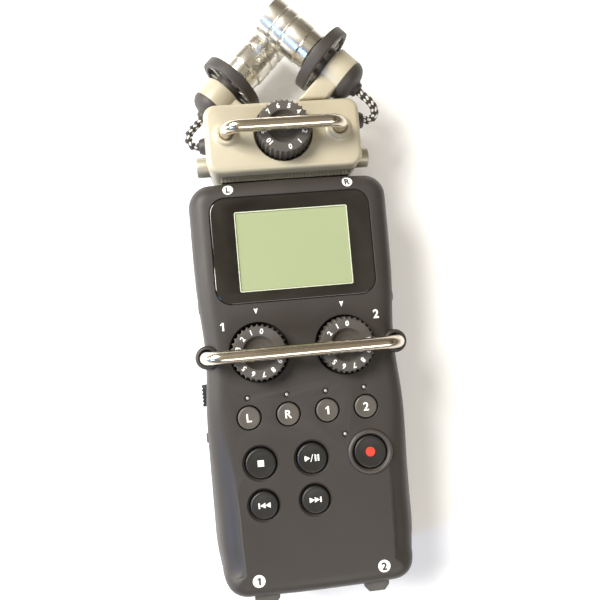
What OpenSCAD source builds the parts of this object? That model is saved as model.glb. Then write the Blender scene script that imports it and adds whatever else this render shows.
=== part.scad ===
// Portable field recorder, lying on its back with its screen up.
// X runs to the right, Y from the jack end to the microphones, Z up out of the face.
// Each piece is drawn with y = 0 at the jack end, then centred on the origin.

/* [Body] */
// Width across the display
body_w = 65; // [60:1:72]
// Length from the jack end to the microphone module
body_l = 132.6; // [126:0.2:160]
// Thickness from the back to the face
body_t = 32; // [30:1:38]
// Wall of the two body shells
wall = 2; // [1.6:0.2:2.4]
// How far the sides draw in at the waist
waist_in = 1.5; // [0:0.5:3]
// Corner radius at the jack end
corner_low = 9; // [8:1:12]
// Corner radius at the module end
corner_top = 8; // [7:1:10]

/* [Display] */
// Width of the glossy window
window_w = 50.8; // [44:0.2:52]
// Height of the glossy window
window_h = 33.6; // [30:0.2:38]
// Thickness of the window
window_t = 1.2; // [0.8:0.2:1.6]
// Width of the liquid crystal panel
lcd_w = 36; // [30:0.2:40]
// Height of the liquid crystal panel
lcd_h = 25.4; // [20:0.1:28]

/* [Controls] */
// Radius of the level dials
dial_r = 8.75; // [7:0.05:9.4]
// Distance of a level dial from the centre line
dial_x = 13.54; // [11:0.02:15]
// Height of the dials above the face
dial_rise = 5.6; // [4:0.1:5.8]
// Scallops round a dial
dial_scallops = 32; // [20:1:36]
// Radius of a track button
track_r = 3.5; // [3:0.1:4.2]
// Spacing of the track buttons
track_pitch = 12.26; // [11:0.02:13]
// Radius of the stop and play buttons
play_r = 4.7; // [4:0.1:5.2]
// Radius of the rewind and forward buttons
skip_r = 4.3; // [3.6:0.1:4.8]
// Radius of the record button
record_r = 5.1; // [4.4:0.1:5.4]
// Travel of a button
button_travel = 0.8; // [0.4:0.1:1]
// Gap between a button and its hole
button_gap = 0.4; // [0.2:0.05:0.5]

/* [Guards] */
// Radius of the guard rods
rod_r = 2; // [1.6:0.1:2.2]
// Height of a guard's rod axis above the face
rod_rise = 8.1; // [7.9:0.1:11]
// Radius of the guard's bends
bend_r = 5; // [4:0.5:6]
// Distance of a main guard foot from the centre line
guard_x = 29.7; // [29:0.1:32]
// Radius of the lugs that hold the main guard
lug_r = 3.7; // [3.4:0.1:4]

/* [Jacks] */
// Distance of a combination jack from the centre line
jack_x = 14.6; // [14:0.1:15.2]
// Radius of the opening for a three-pin plug
plug_r = 9.5; // [9:0.1:9.8]
// Radius of the bore for a quarter inch plug
quarter_r = 3.25; // [3.2:0.05:3.4]
// Radius of the bore for a 3.5 mm plug
mini_r = 1.8; // [1.75:0.05:1.9]
// Radius of the tripod thread's bore
tripod_r = 2.6; // [2.5:0.1:3.2]

/* [Microphone module] */
// Width of the module
module_w = 50; // [46:1:56]
// Length of the module's case
module_l = 22; // [20:1:26]
// Height of the module's back above the table
module_back = 7; // [5:1:9]
// Radius of a microphone head
head_r = 6.8; // [6:0.1:6.9]
// Radius of a shock mount
shock_r = 11.2; // [10:0.1:12.4]
// Radius of a microphone's rear barrel
barrel_r = 7; // [6:0.1:7.5]
// Distance from the module's far end to where the microphone axes cross
cross_reach = 29.3; // [28:0.1:34]
// Height of the upper microphone's axis above the lower one's
axis_step = 14.4; // [14:0.1:15]
// How far the lower microphone's crossing lies short of the upper one's
cross_lag = 1.3; // [0:0.1:1.3]
// Radius of the braided leads
lead_r = 1.4; // [1.1:0.1:1.6]

/* [Hidden] */
$fn = 48;

// Clearances
slip = 0.3;
running = 0.05;
seat_gap = 0.1;
eps = 0.01;

// Levels
face_z = body_t;
parting_z = 16.5;
inner_z = face_z - wall;
front_depth = face_z - parting_z;
board_z = face_z - 11;
board_t = 1.4;
membrane_z = face_z - 7.5;
membrane_t = 1.4;
key_foot_z = membrane_z + membrane_t + 0.4 + button_travel;
well_z = face_z - 4;
well_gap = 0.6;
rod_z = face_z + rod_rise;

lug_rise = 0.5;

// Stations along the body, measured from the jack end
display_y = body_l - 23.2;
lcd_y = display_y - 0.6;
dial_y = body_l - 55.5;
guard_y = body_l - 55.8;
light_y = 63.2;
track_y = 57.15;
play_y = 42.9;
skip_y = 30;
record_light_y = 49.2;
dish_r = 5;
shaft_r = 3;
pot_neck_r = 4.4;
light_r = 0.85;
window_corner = 5;
window_ledge = 1.5;
ring_r = 7.05;
ring_seat = 1.5;
play_x = 16;
record_x = 18.5;
record_light_x = 11.1;

// Outline of the body
waist_y = 77;
waist_len = 16;
toe_y = 20;
toe_in = 4;
end_crown = 0.4;
steps_end = 3;
steps_corner = 7;
steps_side = 18;
columns = 2 * steps_end + 2 * steps_corner + steps_side;

// Inset and drop of each ring of the front shell, from just above the face down, then cut flat:
// along the display the edge is short, along the grip it is a long slope.
edge_short = [[8, -0.5], [4.3, 0.25], [3, 0.9], [1.9, 1.9], [1.05, 3.4], [0.45, 5.8], [0.12, 9.5], [0, 15.5]];
edge_long = [[9.6, -0.5], [7.4, 0.7], [5.8, 1.9], [4.1, 3.5], [2.5, 5.5], [1.25, 8.2], [0.35, 11.6],
    [0, 15.5]];
edge_depth = 15.5;
// Inset and rise of each ring of the rear shell, from just below the back up, which is then cut flat
edge_rear = [[9, -0.5], [5.4, 0.45], [3.6, 1.4], [2, 3], [0.9, 5.4], [0.25, 9], [0, 16.5]];
grip_end_y = 64;
grip_full_y = 22;
grip_toe_y = 2;
grip_toe_full_y = 14;

// Microphone module
module_gap = 1.6;
plug_half = 14;
plug_z0 = 13;
plug_z1 = 21;
module_y = body_l + module_gap;
module_end_y = module_y + module_l;
module_mid_z = (module_back + face_z) / 2;
module_dial_y = module_y + 11.9;
module_guard_y = module_y + 12;
module_guard_x = 18;
module_edge = 1.6;
module_corner = 3.6;
module_wall = 1.8;
unlock_y = module_y + 5.2;
unlock_r = 3.3;
unlock_out = 3.9;
cross_y = module_end_y + cross_reach;
axis_mid_z = 20.4;
axis_hi_z = axis_mid_z + axis_step / 2;
axis_lo_z = axis_mid_z - axis_step / 2;

// Stations along a microphone's axis, from the crossing towards its tail
head_front = -1.4;
head_shoulder = 13.9;
head_neck = 18.2;
head_tail_r = head_r - 0.7;
groove_1 = 3.1;
groove_2 = 7.2;
groove_w = 1.4;
groove_in = 0.45;
neck_r = 3.6;
shock_front = 19.25;
shock_back = 22.75;
cradle_front = 24.6;
cradle_back = 31.5;
web_t = 9.2;
web_reach = 40;
boot_tip = 37;
lead_grip = 1.4;
boot_tip_r = 2.4;
diag = sqrt(0.5);

// Combination jacks and their release tabs
jack_z = 14.1;
jack_depth = 27;
jack_shell_r = plug_r + 1.6;
insert_r = 7.9;
latch_out = 1.8;
latch_w = 8;
latch_x = 17.4;
latch_z = face_z - 5.2;
latch_t = 2.6;

// The whole, along Y
tip_y = cross_y + (head_r - head_front) * diag;
mid_y = (tip_y - latch_out) / 2;

// Side controls
wheel_r = 6;
wheel_t = 3.4;
wheel_y = 50;
wheel_z = 17.5;
wheel_x = body_w / 2 + 0.6 - wheel_r;
scroll_r = 7;
scroll_y = 106;
scroll_z = 18;
scroll_x = body_w / 2 + 0.8 - scroll_r;
axle_r = 1.2;
menu_y = 92;
menu_z = 18;
menu_r = 2.6;
switch_y = 64;
switch_z = 18;
switch_l = 7;
switch_h = 3.2;
switch_travel = 2.5;
phones_y = 94;
line_out_y = 108;
mini_z = 18;
mini_shell = 6;
usb_y = 41;
usb_z = 18.5;
usb_w = 7.7;
usb_h = 3.9;

// Memory card, its slot and door
card_y = 52;
card_w = 24;
card_l = 32;
card_t = 2.1;
card_z = 17.4;
door_w = 28;
door_h = 5.4;
door_t = 1.3;
door_x = body_w / 2 - 1.7;
door_pin_r = 0.6;

// Batteries and their cover
cell_r = 7.25;
cell_l = 50.5;
cell_x = 7.6;
cell_y = 67;
cell_z = 9.8;
cover_w = 34;
cover_y0 = 61;
cover_y1 = 121;
cover_in = 0.2;
cover_t = 1.6;
cover_pin_r = 0.5;

speaker_y = 51;
speaker_r = 7;
tripod_y = 36;
tripod_l = 8;
screw_r = 1.2;
head_screw_r = 2.2;
post_r = 3.2;
screw_places = [[-24.4, 31], [24.4, 31], [-24.3, 119], [24.3, 119]];

// Routes of the leads, from inside a boot, round, and into the module's side
lead_route_right = [[25.5, 160, 27.6], [26.2, 159.3, 27.6], [26.9, 158.6, 27.6], [28.1, 157.4, 27.5],
    [29.4, 156.4, 27.1], [30.6, 155.2, 26.4], [31.4, 154, 25.5], [31.7, 152.9, 24.4], [31.4, 152, 23.4],
    [30.5, 151.5, 22.6], [29.4, 151.4, 22], [28.2, 151.4, 22], [26.8, 151.4, 22]];
lead_route_left = [[-25.5, 158.7, 13.2], [-26.2, 158, 13.2], [-26.9, 157.3, 13.2], [-28.1, 156.1, 13.2],
    [-29.3, 155, 13.2], [-30.4, 153.8, 13.2], [-31.1, 152.6, 13.1], [-31.3, 151.4, 12.9],
    [-31, 150.3, 12.6], [-30.2, 149.3, 12.3], [-29.3, 148.8, 12], [-28.2, 148.8, 12], [-26.8, 148.8, 12]];
relief_right = [151.4, 22];
relief_left = [148.8, 12];
relief_l = 3;
relief_r = 3.6;

shell_grey = "#5a534d";
glossy_black = "#141414";
champagne = "#cdc5a8";
rubber_black = "#262220";

// ---------- functions ----------

function smooth(a, b, x) = let (t = max(0, min(1, (x - a) / (b - a)))) t * t * (3 - 2 * t);

function half_w(y) = body_w / 2 - waist_in * exp(-pow((y - waist_y) / waist_len, 2))
    - (y < toe_y ? toe_in * pow((toe_y - y) / toe_y, 2) : 0);

// Point j of the right-hand half of the outline, drawn in by d
function edge_point(j, e) =
    let (d = e + end_crown, rl = max(corner_low - d, 0.8), rt = max(corner_top - d, 0.8),
        low = half_w(d + rl) - e, top = half_w(body_l - d - rt) - e,
        c0 = steps_end, c1 = c0 + steps_corner, c2 = c1 + steps_side, c3 = c2 + steps_corner)
    j < c0 ? [(low - rl) * j / steps_end, d + end_crown * (pow(j / steps_end, 2) - 1)]
    : j < c1 ? let (a = -90 + 90 * (j - c0) / steps_corner)
        [low - rl + rl * cos(a), d + rl + rl * sin(a)]
    : j < c2 ? let (y = d + rl + (body_l - 2 * d - rl - rt) * (j - c1) / steps_side)
        [half_w(y) - e, y]
    : j < c3 ? let (a = 90 * (j - c2) / steps_corner)
        [top - rt + rt * cos(a), body_l - d - rt + rt * sin(a)]
    : let (t = 1 - (j - c3) / steps_end) [(top - rt) * t, body_l - d + end_crown * (1 - t * t)];

function mirror_half(half, n) = concat(half,
    [for (j = [n - 1:-1:1]) [for (k = [0:len(half[j]) - 1]) k == 0 ? -half[j][k] : half[j][k]]]);

function outline(d) = mirror_half([for (j = [0:columns]) edge_point(j, d)], columns);

function grip(y) = smooth(grip_end_y, grip_full_y, y) * smooth(grip_toe_y, grip_toe_full_y, y);

function front_ring(k) = mirror_half([for (j = [0:columns])
    let (g = grip(edge_point(j, 0)[1]), d = edge_short[k] * (1 - g) + edge_long[k] * g,
        p = edge_point(j, d[0]))
    [p[0], p[1], face_z - d[1] * front_depth / edge_depth]], columns);

function rear_ring(k) = [for (p = outline(edge_rear[k][0])) [p[0], p[1], edge_rear[k][1]]];

// Rounded rectangle centred on x = 0, from y0 to y1, drawn in by d
function box_ring(w, y0, y1, r, d, z) = let (q = max(r - d, 0.4), n = 6)
    [for (c = [[1, -1], [1, 1], [-1, 1], [-1, -1]], i = [0:n])
        let (base = c == [1, -1] ? -90 : c == [1, 1] ? 0 : c == [-1, 1] ? 90 : 180, a = base + 90 * i / n)
        [c[0] * (w / 2 - d - q) + q * cos(a),
         (c[1] > 0 ? y1 - d - q : y0 + d + q) + q * sin(a), z]];

function unit(v) = v / norm(v);

function middle(ring) = [for (c = [0:2]) sum(ring, c) / len(ring)];

function sum(ring, c, i = 0) = i == len(ring) ? 0 : ring[i][c] + sum(ring, c, i + 1);

// Rings of an 8-sided tube along a route; the frame leans on the z axis
function tube_ring(route, i, r) =
    let (n = len(route), t = unit(route[min(i + 1, n - 1)] - route[max(i - 1, 0)]),
        side = unit(cross(t, [0, 0, 1])), up = cross(side, t))
    [for (k = [0:7]) route[i] + r * (cos(45 * k) * side + sin(45 * k) * up)];

// ---------- helpers ----------

module from_end() translate([0, -mid_y, 0]) children();

// Closed skin over rings of points that run anticlockwise and rise in z
module ring_stack(rings) {
    n = len(rings[0]);
    m = len(rings);
    sides = [for (k = [0:m - 2], j = [0:n - 1], h = [0:1])
        h == 0 ? [k * n + j, (k + 1) * n + j, (k + 1) * n + (j + 1) % n]
        : [k * n + j, (k + 1) * n + (j + 1) % n, k * n + (j + 1) % n]];
    caps = [for (j = [0:n - 1], h = [0:1])
        h == 0 ? [m * n, j, (j + 1) % n] : [m * n + 1, (m - 1) * n + (j + 1) % n, (m - 1) * n + j]];
    polyhedron(points = concat([for (r = rings) each r], [middle(rings[0]), middle(rings[m - 1])]),
        faces = concat(sides, caps), convexity = 6);
}

module tube(route, r) ring_stack([for (i = [0:len(route) - 1]) tube_ring(route, i, r)]);

module slab(w, y0, y1, r, z0, z1)
    translate([0, 0, z0]) linear_extrude(z1 - z0)
        polygon([for (p = box_ring(w, y0, y1, r, 0, 0)) [p[0], p[1]]]);

module hollow(d, z0, z1) translate([0, 0, z0]) linear_extrude(z1 - z0) polygon(outline(d));

module at(x, y, z = 0) translate([x, y, z]) children();

module bar_x(r, l) rotate([0, 90, 0]) cylinder(r = r, h = l);

module block(x, y, z) translate([x[0], y[0], z[0]]) cube([x[1] - x[0], y[1] - y[0], z[1] - z[0]]);

// Bent rod: two legs, two elbows and a bridge
module hoop(half, y, foot_z, bend) {
    translate([-half + bend, y, rod_z]) bar_x(rod_r, 2 * (half - bend));
    for (s = [-1, 1]) {
        at(s * half, y, foot_z) cylinder(r = rod_r, h = rod_z - bend - foot_z);
        at(s * (half - bend), y, rod_z - bend) rotate([90, 0, s > 0 ? 0 : 180])
            rotate_extrude(angle = 90) at(bend, 0) circle(r = rod_r, $fn = 32);
    }
}

// Level dial with a scalloped rim, a dished top and its shaft
module dial(x, y) at(x, y) difference() {
    rotate_extrude($fn = 64) polygon([[0, well_z - 2.4], [shaft_r, well_z - 2.4], [shaft_r, well_z + 0.6],
        [dial_r, well_z + 0.6], [dial_r, face_z + dial_rise - 0.9], [dial_r - 0.7, face_z + dial_rise],
        [dish_r, face_z + dial_rise], [dish_r - 0.6, face_z + dial_rise - 1.1],
        [dish_r - 2.4, face_z + dial_rise - 1.7], [0, face_z + dial_rise - 1.9]]);
    for (i = [0:dial_scallops - 1]) rotate(360 / dial_scallops * (i + 0.5))
        at(dial_r + 0.2, 0, well_z) cylinder(r = 0.55, h = face_z + dial_rise - 1 - well_z, $fn = 16);
}

module dial_pot(x, y) at(x, y) difference() {
    union() {
        block([-5.5, 5.5], [-5.5, 5.5], [board_z + board_t, well_z - 2.5]);
        cylinder(r = pot_neck_r, h = well_z + 0.2);
    }
    cylinder(r = pot_neck_r + 2, h = board_z + board_t);
    cylinder(r = shaft_r + running, h = body_t);
}

// Room for the tongue of the microphone module's plug, with a gap all round
module plug_block(gap, y0, y1)
    block([-plug_half - gap, plug_half + gap], [y0, y1], [plug_z0 - gap, plug_z1 + gap]);

// Push button: domed cap over a flange that stays behind the face
module push_button(x, y, r, rise) at(x, y) rotate_extrude($fn = 48)
    polygon([[0, key_foot_z], [r + 1, key_foot_z], [r + 1, inner_z - 2], [r, inner_z - 2],
        [r, face_z + rise - 0.5], [r - 0.5, face_z + rise], [r - 1.2, face_z + rise],
        [0, face_z + rise - 0.35]]);

// What a push button needs cut from the front shell; dish is how far its rim is dished
module button_cut(x, y, r, dish) at(x, y) {
    at(0, 0, inner_z - 4) cylinder(r = r + 1.4, h = 4);
    cylinder(r = r + button_gap, h = body_t + 1);
    if (dish > 0) at(0, 0, face_z - dish)
        cylinder(r1 = r + button_gap, r2 = r + button_gap + dish + 0.2, h = dish + 0.2);
}

track_xs = [for (i = [-1.5:1:1.5]) i * track_pitch];

// Openings in the sides that both shells share
module side_openings() {
    // combination jacks
    for (s = [-1, 1]) {
        at(s * jack_x, -1, jack_z) rotate([-90, 0, 0]) cylinder(r = jack_shell_r + 0.1, h = jack_depth + 2);
        block([s * latch_x - latch_w / 2 - slip, s * latch_x + latch_w / 2 + slip], [-1, 9],
            [latch_z - latch_t / 2 - slip, latch_z + latch_t / 2 + slip]);
    }
    // volume wheel and scroll wheel
    block([-body_w, -body_w / 2 + 2 * wheel_r + 1],
        [wheel_y - wheel_t / 2 - slip, wheel_y + wheel_t / 2 + slip],
        [wheel_z - wheel_r - 0.4, wheel_z + wheel_r + 0.4]);
    block([scroll_x - scroll_r - 1, body_w], [scroll_y - scroll_r - 0.5, scroll_y + scroll_r + 0.5],
        [scroll_z - wheel_t / 2 - slip, scroll_z + wheel_t / 2 + slip]);
    // menu button
    at(body_w / 2 - 8, menu_y, menu_z) bar_x(menu_r + 0.3, 12);
    // power switch
    block([-body_w, -body_w / 2 + 7], [switch_y - switch_l / 2 - switch_travel - slip,
        switch_y + switch_l / 2 + switch_travel + slip],
        [switch_z - switch_h / 2 - slip, switch_z + switch_h / 2 + slip]);
    // output jacks
    for (y = [phones_y, line_out_y]) at(-body_w, y, mini_z) bar_x(3.4, body_w / 2 + 6);
    // data port
    block([-body_w, -body_w / 2 + 8], [usb_y - usb_w / 2 - 0.1, usb_y + usb_w / 2 + 0.1],
        [usb_z - usb_h / 2 - 0.1, usb_z + usb_h / 2 + 0.1]);
    // memory card door and the way in for the card
    block([door_x, body_w], [card_y - door_w / 2 - slip, card_y + door_w / 2 + slip],
        [card_z + card_t / 2 - door_h / 2 - slip, card_z + card_t / 2 + door_h / 2 + slip]);
    block([body_w / 2 - 8, body_w], [card_y - card_w / 2 - slip, card_y + card_w / 2 + slip],
        [card_z - slip, card_z + card_t + slip]);
    at(door_x + door_pin_r, card_y - door_w / 2 + door_pin_r, card_z + card_t / 2 - door_h / 2 - 1.2)
        cylinder(r = door_pin_r + running, h = door_h + 2.4, $fn = 24);
    // socket for the microphone module
    plug_block(slip, body_l - 12, body_l + 1);
}

// ---------- body ----------

module front_shell() color(shell_grey) from_end() difference() {
    union() {
        difference() {
            ring_stack([for (k = [len(edge_short) - 1:-1:0]) front_ring(k)]);
            block([-body_w, body_w], [-1, body_l + 1], [face_z, face_z + 5]);
        }
        for (s = [-1, 1]) at(s * guard_x, guard_y) rotate_extrude($fn = 40)
            polygon([[0, parting_z], [1.2, parting_z], [lug_r, parting_z + 7], [lug_r, face_z],
                [lug_r - 0.5, face_z + lug_rise], [0, face_z + lug_rise]]);
    }
    difference() {
        union() {
            hollow(wall + 1.2, parting_z - 1, face_z - 9.5);
            hollow(wall + 3, face_z - 9.6, face_z - 5);
            hollow(wall + 6, face_z - 5.1, inner_z);
        }
        for (s = [-1, 1]) {
            at(s * dial_x, dial_y, well_z - wall) cylinder(r = dial_r + well_gap + 1.4, h = 8);
            at(s * guard_x, guard_y) cylinder(r = lug_r + 0.6, h = body_t);
        }
        for (p = screw_places) at(p[0], p[1]) cylinder(r = post_r, h = body_t);
    }
    for (s = [-1, 1]) {
        at(s * dial_x, dial_y, well_z) cylinder(r = dial_r + well_gap, h = 8, $fn = 64);
        at(s * dial_x, dial_y, 10) cylinder(r = pot_neck_r + slip, h = body_t);
        at(s * guard_x, guard_y, 21) cylinder(r = rod_r + running, h = body_t);
        at(s * guard_x, guard_y, face_z) cylinder(r = rod_r + 0.65, h = 3);
    }
    for (p = screw_places) at(p[0], p[1]) cylinder(r = screw_r + running, h = parting_z + 7.5);
    slab(window_w + 2 * seat_gap, display_y - window_h / 2 - seat_gap, display_y + window_h / 2 + seat_gap,
        window_corner, face_z - window_t, face_z + 1);
    slab(window_w - 2 * window_ledge, display_y - window_h / 2 + window_ledge,
        display_y + window_h / 2 - window_ledge, window_corner - window_ledge, face_z - 8, face_z + 1);
    for (x = track_xs) {
        button_cut(x, track_y, track_r, 0.3);
        at(x, light_y) cylinder(r = light_r + 0.1, h = body_t + 1, $fn = 20);
    }
    at(record_light_x, record_light_y) cylinder(r = light_r + 0.1, h = body_t + 1, $fn = 20);
    for (x = [-play_x, 0]) {
        button_cut(x, play_y, play_r, 0.6);
        button_cut(x, skip_y, skip_r, 0.5);
    }
    button_cut(record_x, play_y, record_r, 0);
    at(record_x, play_y, face_z - ring_seat) cylinder(r = ring_r + 0.1, h = 4);
    side_openings();
}

module rear_shell() color(shell_grey) from_end() difference() {
    ring_stack(concat([for (k = [0:len(edge_rear) - 2]) rear_ring(k)],
        [[for (p = outline(0)) [p[0], p[1], parting_z]]]));
    block([-body_w, body_w], [-1, body_l + 1], [-5, 0]);
    difference() {
        union() {
            hollow(wall + 3.2, wall, 6);
            hollow(wall + 0.9, 5.9, parting_z + 1);
        }
        at(0, tripod_y) cylinder(r = 6.6, h = tripod_l + 1.5);
        for (p = screw_places) at(p[0], p[1]) cylinder(r = post_r, h = parting_z);
        block([-cover_w / 2 - 3, cover_w / 2 + 3], [cover_y0 - 3, cover_y1 + 3], [0, 4]);
    }
    at(0, tripod_y, -1) cylinder(r = 5.2, h = tripod_l + 1);
    for (p = screw_places) {
        at(p[0], p[1], -1) cylinder(r = head_screw_r + 0.2, h = 4.6);
        at(p[0], p[1]) cylinder(r = screw_r + 0.1, h = body_t);
    }
    // battery opening, its rebate and hinge holes
    block([-cover_w / 2 - slip, cover_w / 2 + slip], [cover_y0 - slip, cover_y1 + slip],
        [-1, cover_in + cover_t + 0.15]);
    block([-cell_x - cell_r - 0.5, cell_x + cell_r + 0.5], [cell_y - 3, cell_y + cell_l + 2.4], [-1, 6]);
    at(-cover_w / 2 - 1.4, cover_y1 - cover_t / 2, cover_in + cover_t / 2)
        bar_x(cover_pin_r + running, cover_w + 2.8);
    // speaker slots
    for (y = [speaker_y - 4.5:1.5:speaker_y + 4.5]) block([-4.5, 4.5], [y - 0.4, y + 0.4], [-1, wall + 1]);
    side_openings();
}

module display_window() color(glossy_black) from_end()
    slab(window_w, display_y - window_h / 2, display_y + window_h / 2, window_corner,
        face_z - window_t, face_z);

module lcd_panel() color("#bed29b") from_end() {
    slab(lcd_w + 4, lcd_y - lcd_h / 2 - 2, lcd_y + lcd_h / 2 + 2, 0.6, face_z - 5.2,
        face_z - window_t - seat_gap);
}

module main_board() color("#1f6b3a") from_end() difference() {
    slab(body_w - 16, jack_depth + 2, body_l - 14, 3, board_z, board_z + board_t);
    for (s = [-1, 1]) at(s * dial_x, dial_y) cylinder(r = 3.4, h = body_t);
    block([-body_w, -body_w / 2 + 2 * wheel_r + 1.5], [wheel_y - 3, wheel_y + 3], [0, body_t]);
    for (p = screw_places) at(p[0], p[1]) cylinder(r = 3.8, h = body_t);
}

module guard_bar() color("#d8d6d2") from_end() hoop(guard_x, guard_y, 21.2, bend_r);

module combo_jack(x) color("#2b2b2b") from_end() at(x, 0, jack_z) rotate([-90, 0, 0]) difference() {
    union() {
        difference() {
            at(0, 0, 0.6) cylinder(r = jack_shell_r, h = jack_depth - 0.6);
            cylinder(r = plug_r, h = 16);
        }
        at(0, 0, 1.2) cylinder(r = insert_r, h = 16);
    }
    cylinder(r = quarter_r, h = jack_depth - 2);
    for (a = [30, 150, 270]) rotate(a) at(5.6, 0) cylinder(r = 1.3, h = 14, $fn = 24);
}

module combo_jack_1() combo_jack(-jack_x);

module combo_jack_2() combo_jack(jack_x);

module output_jacks() color("#1d1d1d") from_end() for (y = [phones_y, line_out_y]) difference() {
    union() {
        at(-body_w / 2 + 0.4, y, mini_z) bar_x(3.2, 4);
        block([-body_w / 2 + 4.2, -body_w / 2 + 14], [y - mini_shell / 2, y + mini_shell / 2],
            [mini_z - mini_shell / 2, mini_z + mini_shell / 2 - seat_gap]);
    }
    at(-body_w / 2 - 1, y, mini_z) bar_x(mini_r, 14);
}

module usb_port() color("#9a9a9a") from_end() difference() {
    block([-body_w / 2 + 0.7, -body_w / 2 + 9], [usb_y - usb_w / 2, usb_y + usb_w / 2],
        [usb_z - usb_h / 2, usb_z + usb_h / 2]);
    block([-body_w / 2, -body_w / 2 + 7.5], [usb_y - usb_w / 2 + 0.5, usb_y + usb_w / 2 - 0.5],
        [usb_z - usb_h / 2 + 0.5, usb_z + usb_h / 2 - 0.5]);
}

module sd_socket() color("#8c8f92") from_end() difference() {
    block([-4, body_w / 2 - 5.2], [card_y - card_w / 2 - 1.4, card_y + card_w / 2 + 1.4],
        [card_z - 1, board_z - seat_gap]);
    block([-2.2, body_w / 2], [card_y - card_w / 2 - 0.2, card_y + card_w / 2 + 0.2],
        [card_z - 0.2, card_z + card_t + 0.2]);
}

module button_membrane() color("#6d6f72") from_end()
    difference() {
        slab(47, skip_y - 2.8, light_y - 1.6, 3, membrane_z, membrane_z + membrane_t);
        at(record_light_x, record_light_y) cylinder(r = 1.4, h = body_t);
        for (p = screw_places) at(p[0], p[1]) cylinder(r = 3.8, h = body_t);
    }

module status_lights() color("#b9b3a6") from_end() {
    h = face_z - 0.1 - board_z - board_t;
    for (x = track_xs) at(x, light_y, board_z + board_t) cylinder(r = light_r, h = h, $fn = 20);
    at(record_light_x, record_light_y, board_z + board_t) cylinder(r = light_r, h = h, $fn = 20);
}

module input_pots() color("#7a7d80") from_end() for (s = [-1, 1]) dial_pot(s * dial_x, dial_y);

module speaker() color("#3a3a3a") from_end() at(0, speaker_y, wall + 0.1) difference() {
    cylinder(r = speaker_r, h = 4.2);
    at(0, 0, -1) cylinder(r1 = 6.3, r2 = 2.5, h = 3.4);
}

module battery_contacts() color("#c8c4b4") from_end() for (s = [-1, 1], end = [0, 1])
    block([s * cell_x - 4, s * cell_x + 4],
        end == 0 ? [cell_y - 1.2, cell_y - 0.2] : [cell_y + cell_l + 1.2, cell_y + cell_l + 2],
        [cell_z - 4, cell_z + 6]);

module cell() rotate([-90, 0, 0]) {
    cylinder(r = cell_r, h = cell_l - 1);
    at(0, 0, cell_l - 1 - eps) cylinder(r = 2.7, h = 1.2);
}

module batteries() color("#c98f3c") from_end() for (s = [-1, 1]) at(s * cell_x, cell_y, cell_z) cell();

module tripod_insert() color("#b99b52") from_end() at(0, tripod_y) difference() {
    cylinder(r = 5.15, h = tripod_l);
    at(0, 0, -1) cylinder(r = tripod_r, h = tripod_l + 2);
}

module case_screws() color("#6f6f6f") from_end() for (p = screw_places) at(p[0], p[1]) {
    at(0, 0, 1.8) cylinder(r = head_screw_r, h = 1.7);
    at(0, 0, 3.4) cylinder(r = screw_r, h = 19);
}

module module_socket() color("#303030") from_end() difference() {
    block([-15.6, 15.6], [body_l - 13, body_l - wall - 1.4], [11.4, board_z + 1.3]);
    plug_block(slip, body_l - 11.6, body_l);
}

module record_ring() color("#6b645d") from_end() at(record_x, play_y) rotate_extrude($fn = 64)
    polygon([[record_r + button_gap, face_z - ring_seat], [ring_r, face_z - ring_seat],
        [ring_r, face_z + 0.2], [ring_r - 0.45, face_z + 0.75], [ring_r - 1.05, face_z + 0.75],
        [record_r + button_gap, face_z + 0.1]]);

// ---------- controls ----------

module input_dial_1() color("#4b4642") from_end() dial(-dial_x, dial_y);

module input_dial_2() color("#4b4642") from_end() dial(dial_x, dial_y);

module track_button(i) color("#7b756c") from_end() push_button(track_xs[i], track_y, track_r, 0.5);

module track_button_l() track_button(0);

module track_button_r() track_button(1);

module track_button_1() track_button(2);

module track_button_2() track_button(3);

module stop_button() color("#2e2b28") from_end() push_button(-play_x, play_y, play_r, 0.5);

module play_button() color("#2e2b28") from_end() push_button(0, play_y, play_r, 0.5);

module record_button() color("#2e2b28") from_end() push_button(record_x, play_y, record_r, 0.3);

module rewind_button() color("#2e2b28") from_end() push_button(-play_x, skip_y, skip_r, 0.5);

module forward_button() color("#2e2b28") from_end() push_button(0, skip_y, skip_r, 0.5);

module knurled_wheel(r) difference() {
    cylinder(r = r, h = wheel_t, center = true);
    cylinder(r = axle_r + running, h = wheel_t + 1, center = true, $fn = 24);
    for (i = [0:23]) rotate(15 * i) at(r + 0.15, 0, -wheel_t) cylinder(r = 0.4, h = 2 * wheel_t, $fn = 14);
}

module volume_wheel() color("#1c1c1c") from_end()
    at(-wheel_x, wheel_y, wheel_z) rotate([90, 0, 0]) knurled_wheel(wheel_r);

module scroll_wheel() color("#1c1c1c") from_end() at(scroll_x, scroll_y, scroll_z) knurled_wheel(scroll_r);

module power_switch() color("#2a2a2a") from_end() {
    block([-body_w / 2 - 0.7, -body_w / 2 + 4], [switch_y - switch_l / 2, switch_y + switch_l / 2],
        [switch_z - switch_h / 2, switch_z + switch_h / 2]);
}

module menu_button() color("#2a2a2a") from_end() at(body_w / 2 - 4, menu_y, menu_z) {
    bar_x(menu_r, 4.6);
}

module sd_door() color(shell_grey) from_end() {
    z0 = card_z + card_t / 2 - door_h / 2;
    y0 = card_y - door_w / 2;
    block([door_x, door_x + door_t], [y0 + door_pin_r, card_y + door_w / 2], [z0, z0 + door_h]);
    at(door_x + door_pin_r, y0 + door_pin_r, z0) cylinder(r = door_pin_r, h = door_h, $fn = 24);
    at(door_x + door_pin_r, y0 + door_pin_r, z0 - 1) cylinder(r = door_pin_r, h = door_h + 2, $fn = 24);
}

module sd_card() color("#20304a") from_end()
    block([-2, -2 + card_l], [card_y - card_w / 2, card_y + card_w / 2], [card_z, card_z + card_t]);

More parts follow.
